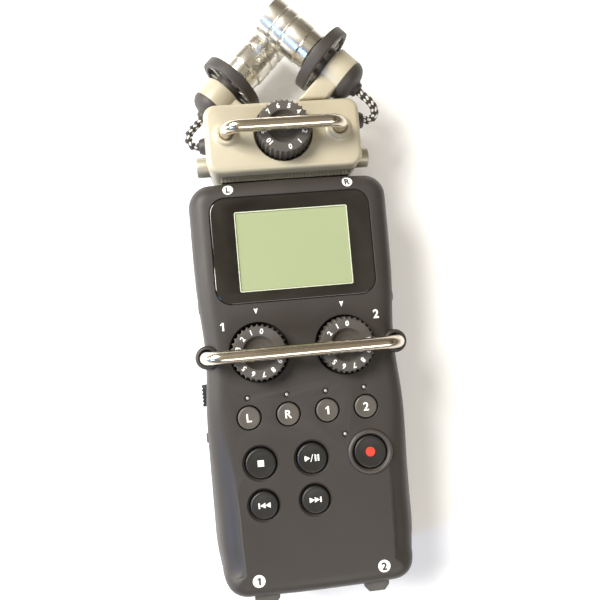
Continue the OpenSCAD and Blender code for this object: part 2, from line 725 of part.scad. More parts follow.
module battery_cover() color(shell_grey) from_end() {
    y1 = cover_y1 - cover_t / 2;
    block([-cover_w / 2, cover_w / 2], [cover_y0, y1], [cover_in, cover_in + cover_t]);
    at(-cover_w / 2, y1, cover_in + cover_t / 2) bar_x(cover_t / 2, cover_w);
    at(-cover_w / 2 - 1.2, y1, cover_in + cover_t / 2) bar_x(cover_pin_r, cover_w + 2.4);
}

module jack_latch(s) color("#4a4641") from_end()
    at(0, 0, latch_z - latch_t / 2) linear_extrude(latch_t) polygon([
        [s * latch_x - latch_w / 2, 5], [s * latch_x - latch_w / 2, 0],
        [s * latch_x - latch_w / 2 + 1.5, -latch_out], [s * latch_x + latch_w / 2 - 1.5, -latch_out],
        [s * latch_x + latch_w / 2, 0], [s * latch_x + latch_w / 2, 5]]);

module jack_latch_1() jack_latch(-1);

module jack_latch_2() jack_latch(1);

// ---------- microphone module ----------

module module_cuts() {
    for (s = [-1, 1]) at(s > 0 ? module_w / 2 - 5 : -module_w / 2 - 1, unlock_y, module_mid_z)
        bar_x(unlock_r + slip, 6);
    plug_block(2 * slip, module_y - 1, module_y + 3);
}

module module_cavity(z0, z1)
    slab(module_w - 2 * module_wall, module_y + module_wall, module_end_y - module_wall, 2.4, z0, z1);

module module_front() color(champagne) from_end() difference() {
    union() {
        ring_stack(concat([box_ring(module_w, module_y, module_end_y, module_corner, 0, module_mid_z)],
            [for (a = [0:22.5:90]) box_ring(module_w, module_y, module_end_y, module_corner,
                module_edge * (1 - cos(a)), face_z - module_edge * (1 - sin(a)))]));
        for (s = [-1, 1]) at(s * module_guard_x, module_guard_y, face_z - 0.5)
            cylinder(r1 = 4.1, r2 = 2.8, h = 1.9);
    }
    difference() {
        module_cavity(module_mid_z - 1, face_z - module_wall);
        at(0, module_dial_y, well_z - wall) cylinder(r = dial_r + well_gap + 1, h = 8);
        for (s = [-1, 1]) at(s * module_guard_x, module_guard_y, 22) cylinder(r = 3.4, h = 12);
    }
    at(0, module_dial_y, well_z) cylinder(r = dial_r + well_gap, h = 8, $fn = 64);
    at(0, module_dial_y, 10) cylinder(r = pot_neck_r + slip, h = body_t);
    for (s = [-1, 1]) at(s * module_guard_x, module_guard_y, 24) cylinder(r = rod_r + running, h = 12);
    module_cuts();
}

module module_rear() color(champagne) from_end() difference() {
    ring_stack(concat([for (a = [90:-22.5:0]) box_ring(module_w, module_y, module_end_y, module_corner,
            module_edge * (1 - cos(a)), module_back + module_edge * (1 - sin(a)))],
        [box_ring(module_w, module_y, module_end_y, module_corner, 0, module_mid_z)]));
    module_cavity(module_back + module_wall, module_mid_z + 1);
    module_cuts();
}

module module_plug() color("#77736a") from_end() {
    block([-21, 21], [body_l + 0.1, module_y], [11, face_z - 6]);
    plug_block(0, body_l - 9, body_l + 0.2);
    plug_block(slip, module_y - eps, module_y + 4);
}

module module_guard_bar() color("#d8d6d2") from_end()
    hoop(module_guard_x, module_guard_y, 24.2, bend_r - 0.5);

module unlock_button(s) color("#c9c7c0") from_end()
    at(s > 0 ? module_w / 2 - 3 : -module_w / 2 - unlock_out, unlock_y, module_mid_z)
        bar_x(unlock_r, 3 + unlock_out);

module unlock_button_left() unlock_button(-1);

module unlock_button_right() unlock_button(1);

module gain_dial() color("#4b4642") from_end() dial(0, module_dial_y);

module gain_pot() color("#7a7d80") from_end() dial_pot(0, module_dial_y);

// Stands children, drawn along +Z from the crossing towards the tail, on a microphone's axis
module on_axis(s) flat_axis(s) rotate([0, 90, 0]) children();

// The same, with X along the axis and Z still up
module flat_axis(s) translate(s > 0 ? [0, cross_y, axis_hi_z] : [0, cross_y - cross_lag, axis_lo_z])
    rotate([0, 0, s > 0 ? -45 : -135]) children();

module mic_cradle(s) color(champagne) from_end() {
    difference() {
        union() {
            on_axis(s) at(0, 0, cradle_front) cylinder(r = barrel_r, h = cradle_back - cradle_front);
            intersection() {
                flat_axis(s) at(cradle_front, s > 0 ? -web_reach : 0, -web_t / 2)
                    cube([cradle_back - cradle_front, web_reach, web_t]);
                block([-web_reach, web_reach], [module_end_y, cross_y], [0, web_reach]);
            }
        }
        on_axis(s) at(0, 0, cradle_front - 1) cylinder(r = neck_r + running, h = 5);
    }
}

module mic_cradle_left() mic_cradle(-1);

module mic_cradle_right() mic_cradle(1);

module shock_mount(s) color(rubber_black) from_end() on_axis(s) difference() {
    rotate_extrude($fn = 64) polygon([[neck_r + running, shock_front + 0.4], [4.9, shock_front + 0.4],
        [4.9, shock_back - 1.6], [9.3, shock_back - 1.6], [9.3, shock_front + 0.5], [9.8, shock_front],
        [shock_r - 0.3, shock_front], [shock_r, shock_front + 0.3], [shock_r, shock_back - 0.3],
        [shock_r - 0.3, shock_back], [9.4, shock_back], [9.4, shock_back - 0.6], [5.2, shock_back - 0.6],
        [5.2, cradle_front - eps], [neck_r + running, cradle_front - eps]]);
    for (i = [0:7]) rotate(45 * i) at(6, -1.3, shock_back - 3) cube([2.8, 2.6, 4]);
}

module shock_mount_left() shock_mount(-1);

module shock_mount_right() shock_mount(1);

// Groove of a microphone head that starts at a station
function groove(h) = [[head_r, h], [head_r - groove_in, h + 0.25], [head_r - groove_in, h + groove_w - 0.25],
    [head_r, h + groove_w]];

module mic_head(s) color("#cfcdc9") from_end() on_axis(s) rotate_extrude($fn = 64)
    polygon(concat([[0, head_front + 1], [head_r - 0.7, head_front + 1], [head_r - 0.7, head_front],
        [head_r - 0.25, head_front], [head_r, head_front + 0.25]], groove(groove_1), groove(groove_2),
        [[head_r, head_shoulder], [head_tail_r + 0.2, head_shoulder + 0.7],
        [head_tail_r, head_shoulder + 2.4], [head_tail_r - 0.5, head_neck], [neck_r, head_neck + 0.6],
        [neck_r, cradle_front + 3], [0, cradle_front + 3]]));

module mic_head_left() mic_head(-1);

module mic_head_right() mic_head(1);

module mic_grilles() color("#8f8d88") from_end() for (s = [-1, 1]) on_axis(s)
    at(0, 0, head_front + 0.3) cylinder(r = head_r - 0.75, h = 0.7);

module cable_boots() color(rubber_black) from_end() for (s = [-1, 1]) on_axis(s) rotate_extrude($fn = 40)
    polygon([[0, cradle_back], [barrel_r, cradle_back], [barrel_r - 0.3, cradle_back + 1.2],
        [barrel_r - 2, cradle_back + 2.8], [boot_tip_r + 0.6, cradle_back + 4.2],
        [boot_tip_r, boot_tip - 0.6], [boot_tip_r - 0.3, boot_tip], [lead_r + running, boot_tip],
        [lead_r + running, boot_tip - lead_grip], [0, boot_tip - lead_grip]]);

module strain_reliefs() color(rubber_black) from_end() for (s = [-1, 1]) {
    p = s > 0 ? relief_right : relief_left;
    at(s * module_w / 2, p[0], p[1]) rotate([0, s * 90, 0]) difference() {
        cylinder(r1 = relief_r, r2 = lead_r + 0.6, h = relief_l, $fn = 32);
        at(0, 0, relief_l - lead_grip) cylinder(r = lead_r + running, h = 2, $fn = 32);
    }
}

module braided_lead_left() color("#8a867e") from_end() tube(lead_route_left, lead_r);

module braided_lead_right() color("#8a867e") from_end() tube(lead_route_right, lead_r);

front_shell();
rear_shell();
display_window();
lcd_panel();
main_board();
guard_bar();
combo_jack_1();
combo_jack_2();
output_jacks();
usb_port();
sd_socket();
button_membrane();
status_lights();
input_pots();
speaker();
battery_contacts();
batteries();
tripod_insert();
case_screws();
module_socket();
record_ring();
input_dial_1();
input_dial_2();
track_button_l();
track_button_r();
track_button_1();
track_button_2();
stop_button();
play_button();
record_button();
rewind_button();
forward_button();
volume_wheel();
power_switch();
menu_button();
scroll_wheel();
sd_door();
sd_card();
battery_cover();
jack_latch_1();
jack_latch_2();
module_front();
module_rear();
module_plug();
module_guard_bar();
unlock_button_left();
unlock_button_right();
gain_dial();
gain_pot();
mic_cradle_left();
mic_cradle_right();
shock_mount_left();
shock_mount_right();
mic_head_left();
mic_head_right();
mic_grilles();
cable_boots();
strain_reliefs();
braided_lead_left();
braided_lead_right();
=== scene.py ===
"""Looks of a portable field recorder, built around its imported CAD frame.

Lengths are in millimetres with y = 0 at the jack end, as a maker would measure them;
at() turns them into the frame's metres.
"""
import math

import bmesh
import bpy
import numpy as np
from mathutils import Matrix, Vector
from mathutils.bvhtree import BVHTree


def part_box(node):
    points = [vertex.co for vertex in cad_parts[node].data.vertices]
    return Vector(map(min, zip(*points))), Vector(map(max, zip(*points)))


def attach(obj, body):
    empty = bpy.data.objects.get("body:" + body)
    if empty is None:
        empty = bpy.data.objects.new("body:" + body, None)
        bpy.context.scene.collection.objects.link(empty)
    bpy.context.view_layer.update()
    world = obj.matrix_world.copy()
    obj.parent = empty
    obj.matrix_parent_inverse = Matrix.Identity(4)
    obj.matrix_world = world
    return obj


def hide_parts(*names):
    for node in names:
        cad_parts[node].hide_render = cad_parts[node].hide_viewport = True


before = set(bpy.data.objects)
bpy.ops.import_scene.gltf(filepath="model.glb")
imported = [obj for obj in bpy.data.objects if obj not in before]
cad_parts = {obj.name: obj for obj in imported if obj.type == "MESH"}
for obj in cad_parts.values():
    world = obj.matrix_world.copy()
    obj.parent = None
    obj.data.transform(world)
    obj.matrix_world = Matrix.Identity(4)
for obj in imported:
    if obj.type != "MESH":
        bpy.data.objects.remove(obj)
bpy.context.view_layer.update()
MM = 0.001


# ---------- places and sizes, from the frame ----------

def box(node):
    """A node's lowest and highest corner in millimetres, with y from the jack end."""
    lo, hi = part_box(node)
    return lo / MM - JACK_END, hi / MM - JACK_END


JACK_END = Vector((0, 0, 0))
JACK_END = Vector((0, box("rear_shell")[0].y, 0))
SHELL = box("rear_shell")
BODY_W = SHELL[1].x * 2
BODY_L = SHELL[1].y
PARTING = SHELL[1].z
FACE = box("display_window")[1].z
WALL = 2.0


def middle(node):
    lo, hi = box(node)
    return (lo + hi) / 2


def at(x, y, z):
    return (Vector((x, y, z)) + JACK_END) * MM


def cosd(degrees):
    return math.cos(math.radians(degrees))


def sind(degrees):
    return math.sin(math.radians(degrees))


# ---------- camera, floor and light ----------

def make_camera():
    camera = bpy.data.cameras.new("camera")
    camera.lens = 37.2
    camera.sensor_width = 36
    obj = bpy.data.objects.new("camera", camera)
    bpy.context.scene.collection.objects.link(obj)
    forward = Vector((0.08479, 0.03739, -0.99570)).normalized()
    up = Vector((0.08481, 0.99540, 0.04460)).normalized()
    right = forward.cross(up).normalized()
    up = right.cross(forward)
    turn = Matrix((right, up, -forward)).transposed().to_4x4()
    obj.matrix_world = Matrix.Translation(at(-15.94, 84.97, 226.29)) @ turn
    bpy.context.scene.camera = obj


def area_light(name, place, target, size, power, color=(1, 1, 1)):
    light = bpy.data.lights.new(name, "AREA")
    light.shape = "RECTANGLE"
    light.size, light.size_y = size
    light.energy = power
    light.color = color
    obj = bpy.data.objects.new(name, light)
    bpy.context.scene.collection.objects.link(obj)
    obj.location = place
    obj.rotation_euler = (Vector(target) - Vector(place)).to_track_quat("-Z", "Y").to_euler()


def make_light():
    world = bpy.data.worlds.new("studio")
    world.use_nodes = True
    nodes, links = world.node_tree.nodes, world.node_tree.links
    back = nodes["Background"]
    back.inputs["Strength"].default_value = 0.72
    way = nodes.new("ShaderNodeTexCoord").outputs["Generated"]
    split = nodes.new("ShaderNodeSeparateXYZ")
    links.new(way, split.inputs[0])
    height = nodes.new("ShaderNodeValToRGB")
    links.new(split.outputs["Z"], height.inputs[0])
    bands = [(0.0, (0.75, 0.73, 0.70)), (0.16, (1.0, 0.97, 0.92)), (0.27, (0.16, 0.12, 0.08)),
             (0.42, (0.10, 0.08, 0.06)), (0.52, (0.95, 0.88, 0.74)), (0.63, (0.20, 0.16, 0.12)),
             (0.80, (0.30, 0.26, 0.20)), (0.90, (0.72, 0.66, 0.54)), (1.0, (0.50, 0.46, 0.37))]
    stops = height.color_ramp.elements
    while len(stops) < len(bands):
        stops.new(0.5)
    for stop, (place, color) in zip(stops, bands):
        stop.position = place
        stop.color = (*color, 1)
    patches = noise(nodes, links, way, 2.3, 2)
    mix = nodes.new("ShaderNodeMix")
    mix.data_type = "RGBA"
    mix.blend_type = "MULTIPLY"
    mix.inputs[0].default_value = 1
    links.new(height.outputs[0], mix.inputs[6])
    links.new(ramp(nodes, links, patches, ((0.35, (0.45, 0.42, 0.38)), (0.62, (1.25, 1.22, 1.18)))),
              mix.inputs[7])
    links.new(mix.outputs[2], back.inputs[0])
    bpy.context.scene.world = world
    bpy.context.scene.view_settings.view_transform = "Standard"
    area_light("key", (-0.62, 0.42, 0.78), (0, 0, 0), (0.45, 0.45), 19, (1, 0.98, 0.95))
    area_light("fill", (0.25, -0.80, 0.85), (0, 0, 0), (0.8, 0.4), 5.6, (1, 0.98, 0.95))
    area_light("side", (-0.7, 0.05, 0.22), (0, 0, 0.02), (0.05, 0.6), 3.0, (1, 0.97, 0.92))
    area_light("window", (-0.42, -0.22, 0.33), (0.02, 0.09, 0.03), (0.10, 0.16), 0.9, (0.16, 0.42, 1))


def make_floor():
    mesh = bpy.data.meshes.new("floor")
    half = 3
    mesh.from_pydata([(-half, -half, 0), (half, -half, 0), (half, half, 0), (-half, half, 0)], [],
                     [(0, 1, 2, 3)])
    floor = bpy.data.objects.new("floor", mesh)
    bpy.context.scene.collection.objects.link(floor)
    mat, _, _, shader = new_material("floor_paper")
    shader.inputs["Base Color"].default_value = (0.93, 0.93, 0.93, 1)
    shader.inputs["Emission Color"].default_value = (1, 1, 1, 1)
    shader.inputs["Emission Strength"].default_value = 0.12
    shader.inputs["Roughness"].default_value = 0.75
    floor.data.materials.append(mat)


# ---------- materials ----------

def new_material(name):
    mat = bpy.data.materials.new(name)
    mat.use_nodes = True
    nodes, links = mat.node_tree.nodes, mat.node_tree.links
    return mat, nodes, links, nodes["Principled BSDF"]


def noise(nodes, links, coord, scale, detail=3, rough=0.55, distort=0.0):
    n = nodes.new("ShaderNodeTexNoise")
    n.inputs["Scale"].default_value = scale
    n.inputs["Detail"].default_value = detail
    n.inputs["Roughness"].default_value = rough
    n.inputs["Distortion"].default_value = distort
    links.new(coord, n.inputs["Vector"])
    return n.outputs["Fac"]


def ramp(nodes, links, fac, stops):
    r = nodes.new("ShaderNodeValToRGB")
    r.color_ramp.elements[0].position = stops[0][0]
    r.color_ramp.elements[0].color = (*stops[0][1], 1)
    r.color_ramp.elements[1].position = stops[1][0]
    r.color_ramp.elements[1].color = (*stops[1][1], 1)
    links.new(fac, r.inputs[0])
    return r.outputs[0]


def spread(nodes, links, fac, low, high):
    m = nodes.new("ShaderNodeMapRange")
    m.inputs["From Min"].default_value = 0.3
    m.inputs["From Max"].default_value = 0.7
    m.inputs["To Min"].default_value = low
    m.inputs["To Max"].default_value = high
    links.new(fac, m.inputs["Value"])
    return m.outputs[0]


def surface(name, color, rough=(0.4, 0.5), metal=0.0, grain=2500, bump=0.05, depth=0.01, shift=0.06,
            blotch=60, coat=0.0, coat_rough=0.1, specular=0.5, sheen=0.0, streak=None, turn=0):
    """A procedural finish: mottled colour, uneven roughness and a fine grain."""
    mat, nodes, links, shader = new_material(name)
    coord = nodes.new("ShaderNodeTexCoord").outputs["Object"]
    if streak:
        mapping = nodes.new("ShaderNodeMapping")
        mapping.vector_type = "TEXTURE"
        mapping.inputs["Rotation"].default_value = (0, 0, math.radians(turn))
        mapping.inputs["Scale"].default_value = streak
        links.new(coord, mapping.inputs[0])
        grain_coord = mapping.outputs[0]
    else:
        grain_coord = coord
    wide = noise(nodes, links, coord, blotch, 4)
    fine = noise(nodes, links, grain_coord, grain, 2)
    dark = tuple(max(0, c * (1 - shift)) for c in color)
    light = tuple(min(1, c * (1 + shift)) for c in color)
    links.new(ramp(nodes, links, wide, ((0.3, dark), (0.7, light))), shader.inputs["Base Color"])
    links.new(spread(nodes, links, wide, *rough), shader.inputs["Roughness"])
    shader.inputs["Metallic"].default_value = metal
    shader.inputs["Specular IOR Level"].default_value = specular
    shader.inputs["Coat Weight"].default_value = coat
    shader.inputs["Coat Roughness"].default_value = coat_rough
    shader.inputs["Sheen Weight"].default_value = sheen
    if bump:
        b = nodes.new("ShaderNodeBump")
        b.inputs["Strength"].default_value = bump
        b.inputs["Distance"].default_value = depth * MM
        links.new(fine, b.inputs["Height"])
        links.new(b.outputs[0], shader.inputs["Normal"])
    return mat


FINISH = {}


def make_finishes():
    FINISH.update(
        soft_touch=surface("soft_touch", (0.0385, 0.0335, 0.0282), (0.42, 0.56), grain=3800, bump=0.3,
                           depth=0.03, shift=0.05, blotch=45, specular=0.36),
        glossy_window=surface("glossy_window", (0.010, 0.0085, 0.0065), (0.035, 0.06), grain=700, bump=0.02,
                              shift=0.3, blotch=120, coat=1.0, coat_rough=0.03),
        liquid_crystal=surface("liquid_crystal", (0.305, 0.345, 0.190), (0.3, 0.42), grain=3000, bump=0.1,
                               depth=0.01, shift=0.025, blotch=25, specular=0.35),
        # the display rim's pale colour is a painted highlight: it stands for the bright edge line along the
        # display's left and lower sides
        lcd_rim=surface("lcd_rim", (0.60, 0.64, 0.46), (0.3, 0.4), grain=3000, bump=0.05, shift=0.02),
        circuit_board=surface("circuit_board", (0.02, 0.12, 0.05), (0.3, 0.45), grain=900, bump=0.2,
                              depth=0.03, shift=0.2, blotch=300),
        chrome=surface("chrome", (0.64, 0.58, 0.49), (0.16, 0.25), 1.0, grain=1600, bump=0.05, depth=0.01,
                       shift=0.04, blotch=90, streak=(30, 1, 1)),
        turned_right=surface("turned_right", (0.74, 0.71, 0.64), (0.24, 0.32), 1.0, grain=5000, bump=0.03,
                             depth=0.01, shift=0.03, blotch=120, streak=(1, 40, 40), turn=-45),
        turned_left=surface("turned_left", (0.74, 0.71, 0.64), (0.24, 0.32), 1.0, grain=5000, bump=0.03,
                            depth=0.01, shift=0.03, blotch=120, streak=(1, 40, 40), turn=-135),
        black_plastic=surface("black_plastic", (0.016, 0.016, 0.016), (0.35, 0.5), grain=3000, bump=0.2,
                              depth=0.02, shift=0.15),
        contact_metal=surface("contact_metal", (0.55, 0.55, 0.53), (0.25, 0.4), 1.0, grain=900, bump=0.1,
                              shift=0.08, blotch=200),
        dial_plastic=surface("dial_plastic", (0.070, 0.063, 0.053), (0.42, 0.58), grain=3300, bump=0.4,
                             depth=0.03, shift=0.07, blotch=150, specular=0.45),
        grey_key=surface("grey_key", (0.083, 0.074, 0.062), (0.34, 0.46), grain=3300, bump=0.2,
                         depth=0.02, shift=0.05, blotch=150),
        black_key=surface("black_key", (0.0125, 0.0115, 0.0098), (0.34, 0.46), grain=3300, bump=0.25,
                          depth=0.02, shift=0.08, blotch=150),
        ring_plastic=surface("ring_plastic", (0.056, 0.049, 0.042), (0.38, 0.5), grain=3500, bump=0.3,
                             depth=0.025, shift=0.05, blotch=100),
        silicone=surface("silicone", (0.15, 0.15, 0.16), (0.5, 0.65), grain=2000, bump=0.2, shift=0.06),
        light_pipe=surface("light_pipe", (0.42, 0.39, 0.35), (0.12, 0.2), grain=2500, bump=0.05, coat=0.6,
                           coat_rough=0.08, shift=0.08, blotch=400),
        cell_sleeve=surface("cell_sleeve", (0.50, 0.26, 0.05), (0.2, 0.3), 0.6, grain=800, bump=0.1,
                            shift=0.08, blotch=60),
        brass=surface("brass", (0.62, 0.46, 0.20), (0.22, 0.35), 1.0, grain=1200, bump=0.15, shift=0.08,
                      blotch=250),
        screw_steel=surface("screw_steel", (0.12, 0.12, 0.12), (0.3, 0.45), 0.9, grain=1200, bump=0.2,
                            shift=0.1, blotch=300),
        champagne=surface("champagne", (0.455, 0.408, 0.292), (0.36, 0.48), 0.12, grain=2600, bump=0.22,
                          depth=0.02, shift=0.03, blotch=70, specular=0.5, coat=0.15, coat_rough=0.35),
        ridge_plastic=surface("ridge_plastic", (0.26, 0.25, 0.20), (0.4, 0.5), grain=1500, bump=0.5,
                              depth=0.05, shift=0.12, blotch=300),
        satin_metal=surface("satin_metal", (0.46, 0.43, 0.34), (0.36, 0.48), 0.6, grain=700, bump=0.1,
                            shift=0.04, blotch=150),
        rubber=surface("rubber", (0.044, 0.0375, 0.031), (0.45, 0.6), grain=2200, bump=0.35, depth=0.03,
                       shift=0.12, blotch=120, specular=0.45, sheen=0.05),
        web_plastic=surface("web_plastic", (0.20, 0.19, 0.15), (0.28, 0.4), 0.3, grain=2600, bump=0.2,
                            depth=0.02,
                            shift=0.06, blotch=150, coat=0.3, coat_rough=0.25),
        mesh=surface("mesh", (0.42, 0.41, 0.39), (0.3, 0.45), 1.0, grain=1800, bump=0.5, depth=0.08,
                     shift=0.2, blotch=900),
        braid_dark=surface("braid_dark", (0.022, 0.020, 0.018), (0.55, 0.7), grain=5000, bump=0.5,
                           depth=0.05, shift=0.2, blotch=500, sheen=0.2),
        braid_light=surface("braid_light", (0.72, 0.70, 0.64), (0.55, 0.7), grain=5000, bump=0.5,
                            depth=0.05, shift=0.08, blotch=500, sheen=0.2),
        card_plastic=surface("card_plastic", (0.03, 0.06, 0.12), (0.35, 0.5), grain=2500, bump=0.2),
        white_print=surface("white_print", (0.88, 0.87, 0.83), (0.5, 0.6), grain=3500, bump=0.15, shift=0.04),
        dark_print=surface("dark_print", (0.03, 0.028, 0.026), (0.5, 0.6), grain=3500, bump=0.15, shift=0.1),
        red_print=surface("red_print", (0.88, 0.045, 0.022), (0.4, 0.5), grain=3500, bump=0.1, shift=0.05),
    )


# ---------- mesh tools ----------

def new_object(name, verts, faces, smooth_angle=35):
    mesh = bpy.data.meshes.new(name)
    mesh.from_pydata([tuple(v) for v in verts], [], faces)
    mesh.update()
    obj = bpy.data.objects.new(name, mesh)
    bpy.context.scene.collection.objects.link(obj)
    mend_normals(obj)
    if smooth_angle:
        shade(obj, smooth_angle)
    return obj


def mend_normals(obj):
    bm = bmesh.new()
    bm.from_mesh(obj.data)
    bmesh.ops.recalc_face_normals(bm, faces=bm.faces)
    bm.to_mesh(obj.data)
    bm.free()


def shade(obj, angle):
    obj.data.shade_smooth()
    obj.data.set_sharp_from_angle(angle=math.radians(angle))


def dress(obj, finish, body, replaces=()):
    """Gives a piece its finish, its body and the CAD nodes that it stands for."""
    obj.data.materials.clear()
    obj.data.materials.append(FINISH[finish])
    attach(obj, body)
    if replaces:
        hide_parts(*replaces)
    return obj


def bake(obj):
    """Applies an object's modifiers to its mesh."""
    bpy.context.view_layer.update()
    done = bpy.data.meshes.new_from_object(obj.evaluated_get(bpy.context.evaluated_depsgraph_get()))
    obj.modifiers.clear()
    obj.data = done
    return obj


def bevel(obj, width, segments=3, angle=30):
    mod = obj.modifiers.new("bevel", "BEVEL")
    mod.width = width * MM
    mod.segments = segments
    mod.limit_method = "ANGLE"
    mod.angle_limit = math.radians(angle)
    mod.use_clamp_overlap = True
    mod.miter_outer = "MITER_ARC"
    bake(obj)
    shade(obj, 40)
    return obj


def joined(name, parts):
    """One mesh from several objects, which it removes."""
    bm = bmesh.new()
    for part in parts:
        bm.from_mesh(part.data)
    mesh = bpy.data.meshes.new(name)
    bm.to_mesh(mesh)
    bm.free()
    for part in parts:
        bpy.data.objects.remove(part)
    obj = bpy.data.objects.new(name, mesh)
    bpy.context.scene.collection.objects.link(obj)
    return obj


def carve(obj, cutters, operation="DIFFERENCE", angle=35):
    for cutter in cutters:
        mod = obj.modifiers.new("carve", "BOOLEAN")
        mod.operation = operation
        mod.solver = "EXACT"
        mod.object = cutter
    bake(obj)
    for cutter in cutters:
        bpy.data.objects.remove(cutter)
    bm = bmesh.new()
    bm.from_mesh(obj.data)
    bmesh.ops.remove_doubles(bm, verts=bm.verts, dist=1e-7)
    bmesh.ops.dissolve_degenerate(bm, edges=bm.edges, dist=1e-7)
    bm.to_mesh(obj.data)
    bm.free()
    shade(obj, angle)
    return obj


def lathe(name, profile, place=(0, 0, 0), axis=(0, 0, 1), steps=96, closed=True, ripple=None, angle=32):
    """Turns a profile of (radius, height) points round an axis; ripple(a, r, h) may shift the radius."""
    spin = Vector((0, 0, 1)).rotation_difference(Vector(axis)).to_matrix()
    base = at(*place)
    verts, rings = [], []
    for r, h in profile:
        if r < 1e-6:
            rings.append([len(verts)])
            verts.append(base + spin @ Vector((0, 0, h)) * MM)
            continue
        ring = []
        for i in range(steps):
            a = 2 * math.pi * i / steps
            rr = r + (ripple(a, r, h) if ripple else 0)
            ring.append(len(verts))
            verts.append(base + spin @ Vector((rr * math.cos(a), rr * math.sin(a), h)) * MM)
        rings.append(ring)
    pairs = list(zip(rings, rings[1:]))
    if closed and len(rings[0]) > 1 and len(rings[-1]) > 1:
        pairs.append((rings[-1], rings[0]))
    faces = []
    for a, b in pairs:
        for i in range(steps):
            k = (i + 1) % steps
            if len(a) == 1 and len(b) == 1:
                continue
            if len(a) == 1:
                faces.append((a[0], b[i], b[k]))
            elif len(b) == 1:
                faces.append((a[i], b[0], a[k]))
            else:
                faces.append((a[i], b[i], b[k], a[k]))
    return new_object(name, verts, faces, angle)


def rod(name, r, low, high, place=(0, 0, 0), axis=(0, 0, 1), steps=96):
    """A plain cylinder from low to high along its axis."""
    return lathe(name, [(0, low), (r, low), (r, high), (0, high)], place, axis, steps)


def flare(r, top, curl):
    """Profile points that open a hole's rim outwards in a quarter round."""
    return [(r + curl * (1 - cosd(18 * k)), top - curl + curl * sind(18 * k)) for k in range(1, 6)]


def shoulder(r, top, curl):
    """Profile points that round a cylinder's top edge."""
    return [(r - curl * (1 - cosd(15 * k)), top - curl * (1 - sind(15 * k))) for k in range(7)]


def rounded(points, steps=5):
    """A profile with its corners rounded: each point is (r, h) or (r, h, radius)."""
    out = []
    for i, p in enumerate(points):
        if len(p) < 3 or i in (0, len(points) - 1):
            out.append((p[0], p[1]))
            continue
        c = Vector(p[:2])
        a, b = Vector(points[i - 1][:2]) - c, Vector(points[i + 1][:2]) - c
        half = a.angle(b) / 2
        reach = min(p[2] / math.tan(half), 0.48 * a.length, 0.48 * b.length)
        radius = reach * math.tan(half)
        a.normalize()
        b.normalize()
        hub = c + (a + b).normalized() * (radius / math.sin(half))
        start, stop = c + a * reach - hub, c + b * reach - hub
        turn = start.angle_signed(stop)
        for k in range(steps + 1):
            t = -turn * k / steps
            out.append((hub.x + start.x * math.cos(t) - start.y * math.sin(t),
                        hub.y + start.x * math.sin(t) + start.y * math.cos(t)))
    return out


def ring_stack(name, rings, angle=35):
    """A closed skin over rings of points, each (x, y, z) in millimetres."""
    n = len(rings[0])
    verts = [at(*p) for ring in rings for p in ring]
    faces = [tuple(range(n))[::-1], tuple(range((len(rings) - 1) * n, len(rings) * n))]
    for k in range(len(rings) - 1):
        for j in range(n):
            i = (j + 1) % n
            faces.append((k * n + j, k * n + i, (k + 1) * n + i, (k + 1) * n + j))
    return new_object(name, verts, faces, angle)


def rect_ring(w, y0, y1, r, d, z, n=10):
    """Points of a rounded rectangle centred on x = 0, drawn in by d."""
    q = max(r - d, 0.15)
    ring = []
    for cx, cy, base in ((1, -1, -90), (1, 1, 0), (-1, 1, 90), (-1, -1, 180)):
        for i in range(n + 1):
            a = math.radians(base + 90 * i / n)
            ring.append((cx * (w / 2 - d - q) + q * math.cos(a),
                         (y1 - d - q if cy > 0 else y0 + d + q) + q * math.sin(a), z))
    return ring


def moved(ring, x):
    return [(p[0] + x, p[1], p[2]) for p in ring]


def slab(name, w, y0, y1, r, z0, z1, x=0.0, edge=0.0, foot=0.0, n=10):
    """A rounded rectangular block; edge rounds its top rim and foot its bottom one."""
    rings = []
    for k in range(6 if foot else 1):
        a = math.radians(90 * k / 5) if foot else math.pi / 2
        rings.append(rect_ring(w, y0, y1, r, foot * (1 - math.sin(a)), z0 + foot * (1 - math.cos(a))
                               if foot else z0, n))
    for k in range(6 if edge else 1):
        a = math.radians(90 * k / 5) if edge else 0
        rings.append(rect_ring(w, y0, y1, r, edge * (1 - math.cos(a)), z1 - edge * (1 - math.sin(a)), n))
    return ring_stack(name, [moved(ring, x) for ring in rings])


def cube(name, x, y, z):
    return slab(name, x[1] - x[0], y[0], y[1], 0, z[0], z[1], (x[0] + x[1]) / 2, n=1)


def route(points, bend, steps=8):
    """A polyline with its corners turned into arcs of that radius."""
    pts = [Vector(p) for p in points]
    out = [pts[0]]
    for a, c, b in zip(pts, pts[1:], pts[2:]):
        u, v = (a - c).normalized(), (b - c).normalized()
        half = u.angle(v) / 2
        reach = bend / math.tan(half)
        hub = c + (u + v).normalized() * (bend / math.sin(half))
        start, stop = c + u * reach - hub, c + v * reach - hub
        spin = start.angle(stop)
        axis = start.cross(stop)
        out += [hub + Matrix.Rotation(spin * k / steps, 3, axis) @ start for k in range(steps + 1)]
    return out + [pts[-1]]


def curve_points(points, count):
    """A smooth line through given points, evenly resampled."""
    pts = [Vector(p) for p in points]
    ends = [pts[0] * 2 - pts[1]] + pts + [pts[-1] * 2 - pts[-2]]
    fine = []
    for i in range(len(pts) - 1):
        a, b, c, d = ends[i:i + 4]
        for k in range(16):
            t = k / 16
            fine.append(((2 * b) + (c - a) * t + (2 * a - 5 * b + 4 * c - d) * t * t
                         + (3 * b - a - 3 * c + d) * t ** 3) / 2)
    fine.append(pts[-1])
    run = [0.0]
    for p, q in zip(fine, fine[1:]):
        run.append(run[-1] + (q - p).length)
    out, k = [], 0
    for i in range(count):
        want = run[-1] * i / (count - 1)
        while k < len(run) - 2 and run[k + 1] < want:
            k += 1
        t = (want - run[k]) / max(run[k + 1] - run[k], 1e-9)
        out.append(fine[k].lerp(fine[k + 1], t))
    return out


